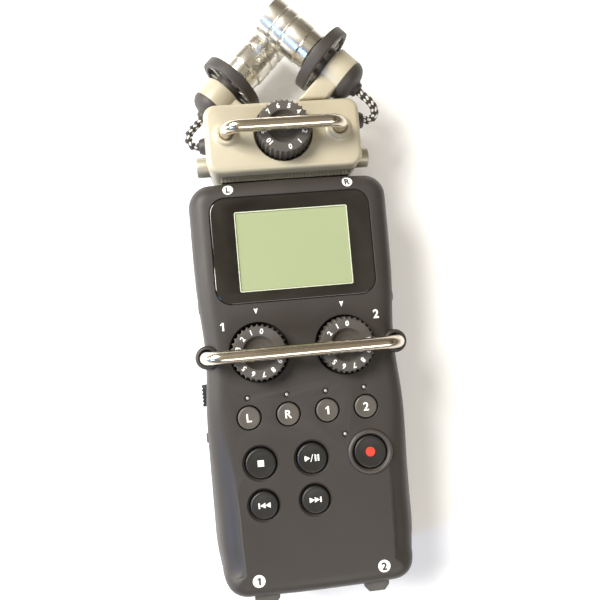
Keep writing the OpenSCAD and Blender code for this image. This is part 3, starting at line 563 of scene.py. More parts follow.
def frames(path):
    """A frame that doesn't twist at each point of a path: (point, side, up)."""
    out = []
    tangent = (path[1] - path[0]).normalized()
    side = tangent.orthogonal().normalized()
    for i, p in enumerate(path):
        ahead = path[min(i + 1, len(path) - 1)] - path[max(i - 1, 0)]
        new = ahead.normalized()
        side = tangent.rotation_difference(new) @ side
        tangent = new
        out.append((p, side.copy(), tangent.cross(side)))
    return out


def sweep(name, path, radius, sides=24, caps=True, angle=50):
    """A round rod along a path; radius is a number or a function of the share of the way."""
    verts, faces = [], []
    for i, (p, side, up) in enumerate(frames(path)):
        r = radius(i / (len(path) - 1)) if callable(radius) else radius
        for k in range(sides):
            a = 2 * math.pi * k / sides
            verts.append(at(*(p + side * r * math.cos(a) + up * r * math.sin(a))))
    for i in range(len(path) - 1):
        for k in range(sides):
            j = (k + 1) % sides
            faces.append((i * sides + k, i * sides + j, (i + 1) * sides + j, (i + 1) * sides + k))
    if caps:
        faces.append(tuple(range(sides))[::-1])
        faces.append(tuple(range((len(path) - 1) * sides, len(path) * sides)))
    return new_object(name, verts, faces, angle)


def decal(name, outline, x, y, z, turn=0.0, thick=0.03):
    """A thin printed shape: outline is a closed list of points about (x, y)."""
    c, s = cosd(turn), sind(turn)
    flat = [(x + px * c - py * s, y + px * s + py * c) for px, py in outline]
    n = len(flat)
    verts = [at(px, py, z) for px, py in flat] + [at(px, py, z + thick) for px, py in flat]
    faces = [tuple(range(n))[::-1], tuple(range(n, 2 * n))]
    faces += [(i, (i + 1) % n, n + (i + 1) % n, n + i) for i in range(n)]
    return new_object(name, verts, faces, 30)


def token(name, r, x, y, z, thick, n=48):
    """A thin printed disc with enough points to follow a curved skin."""
    return lathe(name, [(0, 0)] + [(r * k / 6, 0) for k in range(1, 7)]
                 + [(r * k / 6, thick) for k in range(6, 0, -1)] + [(0, thick)], (x, y, z), steps=n)


def disc(r, n=40):
    return [(r * math.cos(2 * math.pi * i / n), r * math.sin(2 * math.pi * i / n)) for i in range(n)]


ONE = [(-0.02, -0.5), (0.2, -0.5), (0.2, 0.5), (0.02, 0.5), (-0.24, 0.3), (-0.24, 0.13), (-0.02, 0.26)]


def figure(name, text, height, x, y, z, thick=0.03, weight=0.07):
    """A bold figure or letter; a one has a flag."""
    if text == "1":
        return decal(name, [(px * height, py * height) for px, py in ONE], x, y, z, 0, thick)
    return label(name, text, height, x, y, z, 0, thick, weight)


def label(name, text, height, x, y, z, turn=0.0, thick=0.03, weight=0.0):
    """A printed figure or letter, centred on its place, as a thin mesh."""
    font = bpy.data.curves.new(name, "FONT")
    font.body = text
    font.size = height * MM / 0.70
    font.align_x = "CENTER"
    font.align_y = "CENTER"
    font.extrude = thick * MM / 2
    font.offset = weight * MM
    font.resolution_u = 6
    obj = bpy.data.objects.new(name + "_font", font)
    bpy.context.scene.collection.objects.link(obj)
    bpy.context.view_layer.update()
    mesh = bpy.data.meshes.new_from_object(obj.evaluated_get(bpy.context.evaluated_depsgraph_get()))
    bpy.data.objects.remove(obj)
    co = np.array([v.co[:] for v in mesh.vertices])
    centre = (co.min(0) + co.max(0)) / 2
    mesh.transform(Matrix.Translation(-Vector(centre)))
    place = Matrix.Translation(at(x, y, z + thick / 2)) @ Matrix.Rotation(math.radians(turn), 4, "Z")
    mesh.transform(place)
    out = bpy.data.objects.new(name, mesh)
    bpy.context.scene.collection.objects.link(out)
    return out


# ---------- the body's own curves ----------

END_CROWN = 0.4
SHORT_EDGE = [(7, 0), (5.6, 0.06), (4.3, 0.3), (3, 0.9), (1.9, 1.9), (1.05, 3.4), (0.45, 5.8), (0.12, 9.5),
              (0, 15.3), (0.2, 15.5)]
LONG_EDGE = [(9, 0), (8.75, 0.4), (8.25, 0.95), (7.2, 1.45), (5.8, 1.95), (4.3, 2.7), (2.7, 4.2), (1.4, 6.8),
             (0.3, 11), (0, 15.3), (0.2, 15.5)]
REAR_EDGE = [(7.6, 0), (5.4, 0.45), (3.6, 1.4), (2, 3), (0.9, 5.4), (0.25, 9), (0, 16.3), (0.2, 16.5)]


def smooth(a, b, x):
    t = min(1, max(0, (x - a) / (b - a)))
    return t * t * (3 - 2 * t)


def half_w(y):
    toe = 4 * ((20 - y) / 20) ** 2 if y < 20 else 0
    return BODY_W / 2 - 1.5 * math.exp(-((y - 77) / 16) ** 2) - toe


def edge_point(j, e, counts):
    """Point j of the right-hand half of the body's outline, drawn in by e."""
    ends, corner, side = counts
    d = e + END_CROWN
    low_r, top_r = max(9 - d, 0.8), max(8 - d, 0.8)
    low, top = half_w(d + low_r) - e, half_w(BODY_L - d - top_r) - e
    if j < ends:
        return (low - low_r) * j / ends, d + END_CROWN * ((j / ends) ** 2 - 1)
    j -= ends
    if j < corner:
        a = math.radians(90 * j / corner - 90)
        return low - low_r + low_r * math.cos(a), d + low_r + low_r * math.sin(a)
    j -= corner
    if j < side:
        y = d + low_r + (BODY_L - 2 * d - low_r - top_r) * j / side
        return half_w(y) - e, y
    j -= side
    if j < corner:
        a = math.radians(90 * j / corner)
        return top - top_r + top_r * math.cos(a), BODY_L - d - top_r + top_r * math.sin(a)
    t = 1 - (j - corner) / ends
    return (top - top_r) * t, BODY_L - d + END_CROWN * (1 - t * t)


def whole(half):
    return half + [(-p[0], *p[1:]) for p in half[-2:0:-1]]


def outline(d, z, counts=(3, 8, 20)):
    total = 2 * counts[0] + 2 * counts[1] + counts[2]
    return whole([(*edge_point(j, d, counts), z) for j in range(total + 1)])


def grip(y):
    return smooth(64, 22, y) * smooth(2, 14, y)


def resample(points, count):
    """That many places along a smooth curve through points, evenly spread between them."""
    pts = [Vector(p) for p in points]
    ends = [pts[0] * 2 - pts[1]] + pts + [pts[-1] * 2 - pts[-2]]
    out = []
    for k in range(count):
        t = k / (count - 1) * (len(pts) - 1)
        i = min(int(t), len(pts) - 2)
        t -= i
        a, b, c, d = ends[i:i + 4]
        out.append((2 * b + (c - a) * t + (2 * a - 5 * b + 4 * c - d) * t * t
                    + (3 * b - a - 3 * c + d) * t ** 3) / 2)
    return out


def front_rings(counts=(6, 14, 60), levels=37):
    short, long = resample(SHORT_EDGE, levels), resample(LONG_EDGE, levels)
    total = 2 * counts[0] + 2 * counts[1] + counts[2]
    rings = []
    for k in range(levels):
        ring = []
        for j in range(total + 1):
            d = short[k].lerp(long[k], grip(edge_point(j, 0, counts)[1]))
            ring.append((*edge_point(j, max(d.x, 0), counts), FACE - max(d.y, 0)))
        rings.append(whole(ring))
    return rings


def rear_rings(counts=(6, 14, 60), levels=29):
    return [outline(max(d.x, 0), max(d.y, 0), counts) for d in resample(REAR_EDGE, levels)]


# ---------- shared features ----------

GAP = 0.4
DIAL = middle("input_dial_2")
DIAL_R = (box("input_dial_2")[1].x - box("input_dial_2")[0].x) / 2
WELL_Z = FACE - 4
TRACKS = ["track_button_l", "track_button_r", "track_button_1", "track_button_2"]
KEYS = ["stop_button", "play_button", "rewind_button", "forward_button"]
RECORD = middle("record_button")
LIGHT_Y = 63.2
RECORD_LIGHT = (11.1, 49.2)
GUARD = middle("guard_bar")
GUARD_X = box("guard_bar")[1].x - 2
LUG_R = 3.7
WELL_R = DIAL_R + 0.6
RIM = 0.3
LCD = (36.0, 25.4)
JACK_X = middle("combo_jack_2").x
JACK_Z = middle("combo_jack_2").z


SCREWS = ((-24.4, 31), (24.4, 31), (-24.3, 119), (24.3, 119))


def key_r(node):
    lo, hi = box(node)
    return (hi.x - lo.x) / 2 - 1


def hole(name, x, y, r, low, flange=0.0, dish=0.0, lip=0.22):
    """Cutter for a round key's hole: wide behind the face, with a rounded or dished rim."""
    rim = FACE - dish - lip
    profile = [(0, low)]
    if flange:
        profile += [(r + flange, low), (r + flange, FACE - WALL), (r, FACE - WALL)]
    else:
        profile += [(r, low)]
    profile += [(r, rim)]
    for k in range(1, 5):
        a = math.radians(22.5 * k)
        profile.append((r + lip * (1 - math.cos(a)), rim + lip * math.sin(a)))
    if dish:
        profile += [(r + lip + dish * 0.85, FACE - 0.12), (r + lip + dish, FACE)]
    profile += [(profile[-1][0] + 0.02, FACE + 3), (0, FACE + 3)]
    return lathe(name, profile, (x, y, 0), steps=72)


def side_cutters():
    """What both shells are cut by at their sides."""
    low, high = -BODY_W, BODY_W
    cut = []
    for s in (-1, 1):
        cut.append(rod("cut", 11.2, -1, 28, (s * JACK_X, 0, JACK_Z), (0, 1, 0)))
        lo, hi = box("jack_latch_1" if s < 0 else "jack_latch_2")
        cut.append(cube("cut", (lo.x - 0.3, hi.x + 0.3), (-1, 9), (lo.z - 0.3, hi.z + 0.3)))
    lo, hi = box("volume_wheel")
    cut.append(cube("cut", (low, lo.x + 12.8), (lo.y - 0.3, hi.y + 0.3), (lo.z - 0.4, hi.z + 0.4)))
    lo, hi = box("scroll_wheel")
    cut.append(cube("cut", (lo.x - 1, high), (lo.y - 0.5, hi.y + 0.5), (lo.z - 0.3, hi.z + 0.3)))
    mid = middle("menu_button")
    cut.append(rod("cut", 2.9, 0, 12, (BODY_W / 2 - 8, mid.y, mid.z), (1, 0, 0)))
    lo, hi = box("power_switch")
    cut.append(cube("cut", (low, -BODY_W / 2 + 7), (lo.y - 2.8, hi.y + 2.8), (lo.z - 0.3, hi.z + 0.3)))
    for y in (94, 108):
        cut.append(rod("cut", 3.4, 0, 38, (-BODY_W, y, 18), (1, 0, 0)))
    lo, hi = box("usb_port")
    cut.append(cube("cut", (low, -BODY_W / 2 + 8), (lo.y - 0.1, hi.y + 0.1), (lo.z - 0.1, hi.z + 0.1)))
    lo, hi = box("sd_door")
    cut.append(cube("cut", (lo.x, high), (lo.y - 0.3, hi.y + 0.3), (lo.z + 1 - 0.3, hi.z - 1 + 0.3)))
    lo, hi = box("sd_card")
    cut.append(cube("cut", (BODY_W / 2 - 8, lo.x + 36), (lo.y - 0.3, hi.y + 0.3), (lo.z - 0.3, hi.z + 0.3)))
    cut.append(cube("cut", (-14.3, 14.3), (BODY_L - 12, BODY_L + 1), (12.7, 21.3)))
    return cut


# ---------- body ----------

def make_front_shell():
    shell = ring_stack("front_case", front_rings(), 30)
    lugs = []
    for s in (-1, 1):
        profile = [(0, PARTING + 0.3), (1.0, PARTING + 0.3), (2.4, PARTING + 2.2),
                   (LUG_R - 0.25, PARTING + 5),
                   (LUG_R, PARTING + 8)]
        profile += shoulder(LUG_R, FACE + 0.5, 0.9)
        profile += [(0, FACE + 0.5)]
        lugs.append(lathe("lug", profile, (s * GUARD_X, GUARD.y, 0), steps=72))
    carve(shell, lugs, "UNION", 30)
    cavity = ring_stack("cavity", [outline(d, z) for d, z in (
        (WALL + 1.2, PARTING - 1), (WALL + 1.2, FACE - 9.5), (WALL + 3, FACE - 9.5), (WALL + 3, FACE - 5),
        (WALL + 6, FACE - 5), (WALL + 6, FACE - WALL))])
    posts = [rod("post", WELL_R + 1.4, WELL_Z - WALL, 40,
                   (s * DIAL.x, DIAL.y, 0)) for s in (-1, 1)]
    posts += [rod("post", LUG_R + 0.6, 5, 40, (s * GUARD_X, GUARD.y, 0))
              for s in (-1, 1)]
    posts += [rod("post", 3.2, 5, 40, (x, y, 0), steps=48) for x, y in SCREWS]
    carve(cavity, posts)
    carve(shell, [cavity])
    cut = []
    for s in (-1, 1):
        well = rounded([(0, 10), (4.7, 10), (4.7, WELL_Z), (8.9, WELL_Z, 0.3), (8.9, WELL_Z + 0.9, 0.2),
                       (WELL_R, WELL_Z + 0.9, 0.2), (WELL_R, FACE - RIM)])
        well += flare(WELL_R, FACE, RIM)
        cut.append(lathe("cut", well + [(WELL_R + RIM + 0.03, FACE + 3), (0, FACE + 3)],
                         (s * DIAL.x, DIAL.y, 0), steps=120))
        cut.append(lathe("cut", [(0, 21), (2.05, 21), (2.05, FACE - 1), (2.65, FACE - 0.6), (2.75, FACE + 3),
                                 (0, FACE + 3)], (s * GUARD_X, GUARD.y, 0), steps=64))
    for x, y in SCREWS:
        cut.append(rod("cut", 1.25, 10, PARTING + 7.5, (x, y, 0), steps=32))
    lo, hi = box("display_window")
    w = hi.x - lo.x
    pane = [rect_ring(w - 3, lo.y + 1.5, hi.y - 1.5, 3.5, 0, z) for z in (FACE - 8, lo.z)]
    pane += [rect_ring(w + 0.2, lo.y - 0.1, hi.y + 0.1, 5.1, 0, z) for z in (lo.z, FACE - 0.18)]
    pane += [rect_ring(w + 0.56, lo.y - 0.28, hi.y + 0.28, 5.28, 0, z) for z in (FACE, FACE + 1)]
    cut.append(ring_stack("cut", pane))
    for node in TRACKS:
        mid = middle(node)
        cut.append(hole("cut", mid.x, mid.y, key_r(node) + GAP, FACE - WALL - 4, 1.0))
        cut.append(hole("cut", mid.x, LIGHT_Y, 0.95, 18, lip=0.1))
    cut.append(hole("cut", *RECORD_LIGHT, 0.95, 18, lip=0.1))
    for node in KEYS:
        mid = middle(node)
        cut.append(hole("cut", mid.x, mid.y, key_r(node) + GAP, FACE - WALL - 4, 1.0, 0.6, 0.05))
    ring = (box("record_ring")[1].x - box("record_ring")[0].x) / 2
    r = key_r("record_button")
    cut.append(lathe("cut", [(0, FACE - WALL - 4), (r + 1.4, FACE - WALL - 4), (r + 1.4, FACE - WALL),
                             (r + GAP, FACE - WALL), (r + GAP, FACE - 1.5), (ring + 0.1, FACE - 1.5),
                             (ring + 0.14, FACE + 3), (0, FACE + 3)], (RECORD.x, RECORD.y, 0)))
    carve(shell, cut)
    carve(shell, side_cutters(), angle=30)
    return dress(shell, "soft_touch", "recorder", ["front_shell"])


def make_rear_shell():
    shell = ring_stack("rear_case", rear_rings(), 30)
    hollow = ring_stack("cavity", [outline(d, z) for d, z in (
        (WALL + 3.2, WALL), (WALL + 3.2, 6), (WALL + 0.9, 6), (WALL + 0.9, PARTING + 1))])
    tripod = middle("tripod_insert")
    clo, chi = box("battery_cover")
    cover_x = clo.x + 1.2
    posts = [rod("post", 6.6, -1, 9.5, (tripod.x, tripod.y, 0)),
             cube("post", (cover_x - 3, -cover_x + 3), (clo.y - 3, chi.y + 3), (-1, 4))]
    for x, y in SCREWS:
        posts.append(rod("post", 3.2, -1, PARTING, (x, y, 0), steps=48))
    carve(hollow, posts)
    carve(shell, [hollow])
    cut = [lathe("cut", [(0, -1), (5.6, -1), (5.6, 0.05), (5.2, 0.35), (5.2, 8), (0, 8)],
                 (tripod.x, tripod.y, 0))]
    for x, y in SCREWS:
        cut.append(lathe("cut",
                         [(0, -1), (2.9, -1), (2.9, 0.05), (2.4, 0.4), (2.4, 3.6), (1.3, 3.6), (1.3, 30),
                                 (0, 30)], (x, y, 0), steps=48))
    for i in range(-3, 4):
        y = middle("speaker").y + 1.5 * i
        cut.append(slab("cut", 9, y - 0.4, y + 0.4, 0.38, -1, WALL + 1, n=5))
    carve(shell, [joined("cut", cut)])
    lo, hi = box("batteries")
    carve(shell, [ring_stack("cut", [rect_ring(-2 * cover_x + 0.6, clo.y - 0.3, chi.y + 0.3, 0.6, 0, z)
                                     for z in (-1, chi.z + 0.15)])])
    carve(shell, [cube("cut", (lo.x - 0.5, hi.x + 0.5), (lo.y - 3, hi.y + 2.2), (0.5, 6))])
    carve(shell, [rod("cut", 0.56, 0, -2 * cover_x + 2.8,
                        (cover_x - 1.4, chi.y - 0.8, 1.0), (1, 0, 0), steps=32)])
    carve(shell, side_cutters(), angle=30)
    return dress(shell, "soft_touch", "recorder", ["rear_shell"])


def make_window():
    lo, hi = box("display_window")
    pane = slab("window_pane", hi.x - lo.x, lo.y, hi.y, 5, lo.z, hi.z, edge=0.4, n=16)
    panel = middle("lcd_panel")
    x, y = panel.x + 0.15, panel.y
    w, h = LCD
    carve(pane, [slab("cut", w, y - h / 2, y + h / 2, 0.6, hi.z - 0.5, hi.z + 1, x)], angle=25)
    dress(pane, "glossy_window", "recorder", ["display_window"])
    # The pale rim round the display is a painted highlight; the pane's pocket above it casts real shade over
    # its top and right sides.
    rim = slab("display_rim_painted_highlight", w - 0.1, y - h / 2 + 0.05, y + h / 2 - 0.05, 0.55, hi.z - 0.5, hi.z - 0.08, x)
    carve(rim, [slab("cut", w - 0.7, y - h / 2 + 0.35, y + h / 2 - 0.35, 0.3, hi.z - 1, hi.z + 1, x)],
          angle=25)
    dress(rim, "lcd_rim", "recorder")
    face = slab("display_face", w - 0.9, y - h / 2 + 0.45, y + h / 2 - 0.45, 0.25, hi.z - 0.49, hi.z - 0.40,
                x)
    dress(face, "liquid_crystal", "recorder")


def make_guard(name, node, body_half):
    lo, hi = box(node)
    r = (hi.y - lo.y) / 2
    x, y, top = hi.x - r, (lo.y + hi.y) / 2, hi.z - r
    path = route([(-x, y, lo.z), (-x, y, top), (x, y, top), (x, y, lo.z)], body_half, 14)
    fine = []
    for a, b in zip(path, path[1:]):
        count = max(1, int((b - a).length / 1.5))
        fine += [a.lerp(b, k / count) for k in range(count)]
    bar = sweep(name, fine + [path[-1]], r, 48)
    return dress(bar, "chrome", "recorder" if node == "guard_bar" else "mic_module", [node])


# ---------- controls ----------

def scallop(count, depth, share=0.58):
    def ripple(a, r, h):
        if r < DIAL_R - 0.75:
            return 0
        t = (a * count / (2 * math.pi)) % 1 - 0.5
        inside = 1 - (t / (share / 2)) ** 2
        full = depth if r > DIAL_R - 0.1 else depth * 0.55
        return -full * math.sqrt(inside) if inside > 0 else 0
    return ripple


def make_dial(name, node, body, first, turn):
    """A level dial; its figures start at an angle and follow one another anticlockwise."""
    lo, hi = box(node)
    x, y, top = (lo.x + hi.x) / 2, (lo.y + hi.y) / 2, hi.z
    r = (hi.x - lo.x) / 2
    profile = rounded([(0, lo.z), (3, lo.z, 0.1), (3, WELL_Z + 0.6, 0.1), (r, WELL_Z + 0.6, 0.2),
                       (r, top - 0.85, 0.25),
                       (r - 0.7, top, 0.3), (5.2, top, 0.1), (4.95, top - 0.4, 0.2), (4.2, top - 1.15, 0.9),
                       (2.6, top - 1.65, 1.5), (0, top - 1.8)], 5)
    fine = []
    for a, b in zip(profile, profile[1:]):
        fine.append(a)
        if abs(a[1] - b[1]) > 2 and a[0] > r - 0.1:
            fine += [(a[0], a[1] + (b[1] - a[1]) * k / 4) for k in range(1, 4)]
    fine.append(profile[-1])
    dial = lathe(name, fine, (x, y, 0), steps=32 * 14, ripple=scallop(32, 0.55, 0.8), angle=50)
    dress(dial, "dial_plastic", body, [node])
    prints = []
    for k in range(11):
        a = math.radians(90 + first + turn * k)
        figure = label("figure", str(k), 1.5, x + 6.6 * math.cos(a), y + 6.6 * math.sin(a), top + 0.005,
                       first + turn * k, 0.02, 0.06)
        prints.append(figure)
    dress(joined(name + "_figures", prints), "white_print", body)


def make_key(node, body, finish, cup=0.3, soft=0.55):
    """A round key: a rounded rim and a faintly cupped top, with a flange behind the face."""
    lo, hi = box(node)
    x, y = (lo.x + hi.x) / 2, (lo.y + hi.y) / 2
    r = key_r(node)
    flange = FACE - WALL - 2
    profile = [(0, lo.z), (r + 1, lo.z), (r + 1, flange), (r, flange)]
    profile += shoulder(r, hi.z, soft)
    inner = r - soft - 0.15
    for k in range(1, 9):
        t = k / 8
        profile.append((inner * (1 - t), hi.z - cup * (1 - (1 - t) ** 2)))
    return dress(lathe(node + "_cap", profile, (x, y, 0), steps=96), finish, body, [node])


def key_top(node, r, cup=0.3):
    """Height of a cupped key's top at distance r from its axis."""
    inner = key_r(node) - 0.7
    return box(node)[1].z - cup * (1 - min(1, r / inner) ** 2)


TRIANGLE = [(-0.5, -0.5), (0.5, 0), (-0.5, 0.5)]


def scaled(shape, w, h, x=0.0, y=0.0, flip=1):
    return [(x + flip * px * w, y + py * h) for px, py in shape][::flip]


BAR = [(-0.5, -0.5), (0.5, -0.5), (0.5, 0.5), (-0.5, 0.5)]


def icon(name, shapes, node, finish, body, sink=0.24):
    mid, top = middle(node), box(node)[1].z
    parts = [decal("print", s, mid.x, mid.y, top - sink, 0, 0.05) for s in shapes]
    return dress(joined(name, parts), finish, body)


def make_keys():
    bodies = {"track_button_l": "key_l", "track_button_r": "key_r", "track_button_1": "key_1",
              "track_button_2": "key_2"}
    for node, text in zip(TRACKS, "LR12"):
        mid = middle(node)
        make_key(node, bodies[node], "grey_key", 0.2, 0.45)
        mark = figure(node + "_letter", text, 2.5, mid.x, mid.y, key_top(node, 1.0, 0.2) - 0.03, 0.06)
        dress(mark, "white_print", bodies[node])
    for node, body in (("stop_button", "key_stop"), ("play_button", "key_play"),
                       ("rewind_button", "key_rewind"),
                       ("forward_button", "key_forward"), ("record_button", "key_record")):
        make_key(node, body, "black_key", 0.3)
    icon("stop_mark", [scaled(BAR, 1.95, 1.95)], "stop_button", "white_print", "key_stop")
    slash = [(-0.62, -1.15), (-0.38, -1.15), (0.42, 1.15), (0.18, 1.15)]
    icon("play_mark", [scaled(TRIANGLE, 1.75, 2.0, -1.55), slash, scaled(BAR, 0.5, 2.0, 1.05),
                       scaled(BAR, 0.5, 2.0, 1.95)], "play_button", "white_print", "key_play")
    for node, body, flip in (("rewind_button", "key_rewind", -1), ("forward_button", "key_forward", 1)):
        icon(node[:-7] + "_mark", [scaled(TRIANGLE, 1.65, 1.7, flip * -1.1, 0, flip),
                                   scaled(TRIANGLE, 1.65, 1.7, flip * 0.5, 0, flip),
                                   scaled(BAR, 0.45, 1.7, flip * 1.6)], node, "white_print", body)
    icon("record_mark", [disc(1.47)], "record_button", "red_print", "key_record", 0.28)
    lo, hi = box("record_ring")
    outer, inner = (hi.x - lo.x) / 2, key_r("record_button") + GAP
    profile = rounded([(inner, lo.z), (outer, lo.z), (outer, hi.z - 0.45, 0.3), (outer - 0.5, hi.z, 0.35),
                       (outer - 1.05, hi.z, 0.35), (inner, hi.z - 0.7, 0.2)], 4)
    dress(lathe("record_collar", profile, (RECORD.x, RECORD.y, 0), steps=120), "ring_plastic", "recorder",
          ["record_ring"])


def make_lights():
    lo, hi = box("status_lights")
    sleeves, lenses = [], []
    for x, y in [(middle(n).x, LIGHT_Y) for n in TRACKS] + [RECORD_LIGHT]:
        sleeve = rounded([(0.5, lo.z), (0.85, lo.z), (0.85, hi.z - 0.05, 0.05), (0.72, hi.z - 0.05, 0.05),
                          (0.5, hi.z - 0.3)], 3)
        sleeves.append(lathe("sleeve", sleeve, (x, y, 0), steps=40))
        lens = [(0, lo.z + 1), (0.49, lo.z + 1), (0.49, hi.z - 0.35)]
        lens += [(0.49 * cosd(18 * k), hi.z - 0.35 + 0.22 * sind(18 * k))
                 for k in range(1, 5)]
        lenses.append(lathe("lens", lens + [(0, hi.z - 0.13)], (x, y, 0), steps=32))
    dress(joined("indicator_sleeves", sleeves), "black_plastic", "recorder",
          ["status_lights"])
    dress(joined("indicator_lenses", lenses), "light_pipe", "recorder")


def knurl(count, depth):
    def ripple(a, r, h):
        return -depth * max(0.0, math.cos(a * count)) ** 2 if r > 4.5 else 0
    return ripple


def make_side_controls():
    for name, node, body, axis in (("volume_dial", "volume_wheel", "volume", (0, 1, 0)),
                                   ("scroll_dial", "scroll_wheel", "scroll", (0, 0, 1))):
        lo, hi = box(node)
        mid = (lo + hi) / 2
        r, half = (hi.x - lo.x) / 2, 1.7
        profile = rounded([(1.25, -half), (r - 0.9, -half, 0.1), (r, -half + 0.35, 0.25),
                           (r, half - 0.35, 0.25),
                           (r - 0.9, half, 0.1), (1.25, half)], 3)
        wheel = lathe(name, profile, mid, axis, steps=24 * 10, ripple=knurl(24, 0.4))
        dress(wheel, "black_plastic", body, [node])
    lo, hi = box("power_switch")
    mid = (lo + hi) / 2
    cap = cube("power_slider", (lo.x, hi.x), (lo.y, hi.y), (lo.z, hi.z))
    bevel(cap, 0.25)
    ribs = [cube("rib", (lo.x - 1, lo.x + 0.35), (mid.y + 1.2 * i - 0.3, mid.y + 1.2 * i + 0.3),
                 (lo.z - 1, hi.z + 1))
            for i in range(-2, 3)]
    carve(cap, [joined("ribs", ribs)])
    dress(cap, "black_plastic", "power", ["power_switch"])
    lo, hi = box("menu_button")
    mid = (lo + hi) / 2
    r = (hi.z - lo.z) / 2
    cap = lathe("menu_cap", rounded([(0, 0), (r, 0), (r, hi.x - lo.x, 0.35), (0, hi.x - lo.x - 0.12)], 5),
                (lo.x, mid.y, mid.z), (1, 0, 0))
    dress(cap, "black_plastic", "menu", ["menu_button"])
    for node, body in (("jack_latch_1", "latch_1"), ("jack_latch_2", "latch_2")):
        lo, hi = box(node)
        ring = [(lo.x, hi.y), (lo.x, lo.y + 1.8), (lo.x + 1.5, lo.y), (hi.x - 1.5, lo.y),
                (hi.x, lo.y + 1.8), (hi.x, hi.y)]
        tab = ring_stack(node + "_tab", [[(*p, z) for p in ring] for z in (lo.z, hi.z)])
        bevel(tab, 0.3)
        dress(tab, "dial_plastic", body, [node])


def make_sd_door():
    lo, hi = box("sd_door")
    z0, z1 = lo.z + 1, hi.z - 1
    door = cube("card_flap", (lo.x, lo.x + 1.3), (lo.y + 0.6, hi.y), (z0, z1))
    bevel(door, 0.2)
    hinge = rod("pin", 0.6, 0, hi.z - lo.z, (lo.x + 0.6, lo.y + 0.6, lo.z), steps=32)
    carve(door, [hinge], "UNION")
    grips = [cube("rib", (lo.x + 1.1, lo.x + 2), (hi.y - 3 - 1.1 * i, hi.y - 2.5 - 1.1 * i), (z0 + 1, z1 - 1))
             for i in range(4)]
    carve(door, [joined("ribs", grips)])
    dress(door, "soft_touch", "card_door", ["sd_door"])


def make_battery_cover():
    lo, hi = box("battery_cover")
    x, z0, z1 = -lo.x - 1.2, lo.z, hi.z
    y1 = hi.y - 0.8
    plate = ring_stack("cell_cover",
                       [rect_ring(2 * x, lo.y, y1, 0.5, 0.2, z0),
                        rect_ring(2 * x, lo.y, y1, 0.7, 0, z0 + 0.25),
                                      rect_ring(2 * x, lo.y, y1, 0.7, 0, z1)])
    roll = rod("roll", 0.8, 0, 2 * x, (-x, y1, z0 + 0.8), (1, 0, 0), steps=32)
    pin = rod("pin", 0.5, 0, 2 * x + 2.4, (-x - 1.2, y1, z0 + 0.8), (1, 0, 0), steps=24)
    carve(plate, [roll], "UNION")
    carve(plate, [pin], "UNION")
    ribs = [slab("rib", 14 - abs(i - 2) * 2, lo.y + 4 + 1.5 * i, lo.y + 4.7 + 1.5 * i, 0.34, z0 - 1,
                 z0 + 0.4, n=4)
            for i in range(5)]
    arrow = ring_stack("arrow",
                       [[(-2, lo.y + 16, z), (2, lo.y + 16, z), (0, lo.y + 13, z)]
                        for z in (z0 - 1, z0 + 0.25)])
    carve(plate, [joined("ribs", ribs + [arrow])])
    dress(plate, "soft_touch", "cell_cover", ["battery_cover"])


def make_jacks():
    for node in ("combo_jack_1", "combo_jack_2"):
        lo, hi = box(node)
        x, z = (lo.x + hi.x) / 2, (lo.z + hi.z) / 2
        r = (hi.x - lo.x) / 2
        end = hi.y
        profile = rounded([(0, end), (r, end), (r, 0.6, 0.4), (9.7, 0.6, 0.3), (9.5, 1.4), (9.5, 16),
                           (7.9, 16),
                           (7.9, 1.3, 0.35), (3.6, 1.3, 0.3), (3.25, 1.9), (3.25, end - 2), (0, end - 2)], 4)
        shell = lathe(node + "_shell", profile, (x, 0, z), (0, 1, 0), steps=96)
        pins, liners = [], []
        for a in (90, 210, 330):
            c, s = cosd(a), sind(a)
            pins.append(rod("cut", 1.3, 0, 14, (x - 5.6 * c, 0, z - 5.6 * s), (0, 1, 0), steps=32))
            liners.append(lathe("liner", [(0.95, 2.4), (1.28, 2.4), (1.28, 13), (0.95, 13)],
                                (x - 5.6 * c, 0, z - 5.6 * s), (0, 1, 0), steps=24))
        carve(shell, [joined("pins", pins)])
        dress(shell, "black_plastic", "recorder", [node])
        dress(joined(node + "_contacts", liners), "contact_metal", "recorder")


# ---------- microphone module ----------

MODULE = (box("module_rear")[0], box("module_front")[1])
MODULE_W = MODULE[1].x * 2
MODULE_Y0 = MODULE[0].y
MODULE_Y1 = box("module_rear")[1].y
MODULE_MID_Z = box("module_rear")[1].z
BACK_Z = MODULE[0].z
DIAG = math.sqrt(0.5)
CROSS = {1: Vector((0, 185.5, 27.6)), -1: Vector((0, 184.2, 13.2))}


def on_axis(name, profile, s, steps=96, ripple=None, angle=32):
    return lathe(name, profile, CROSS[s], (s * DIAG, -DIAG, 0), steps, ripple=ripple, angle=angle)


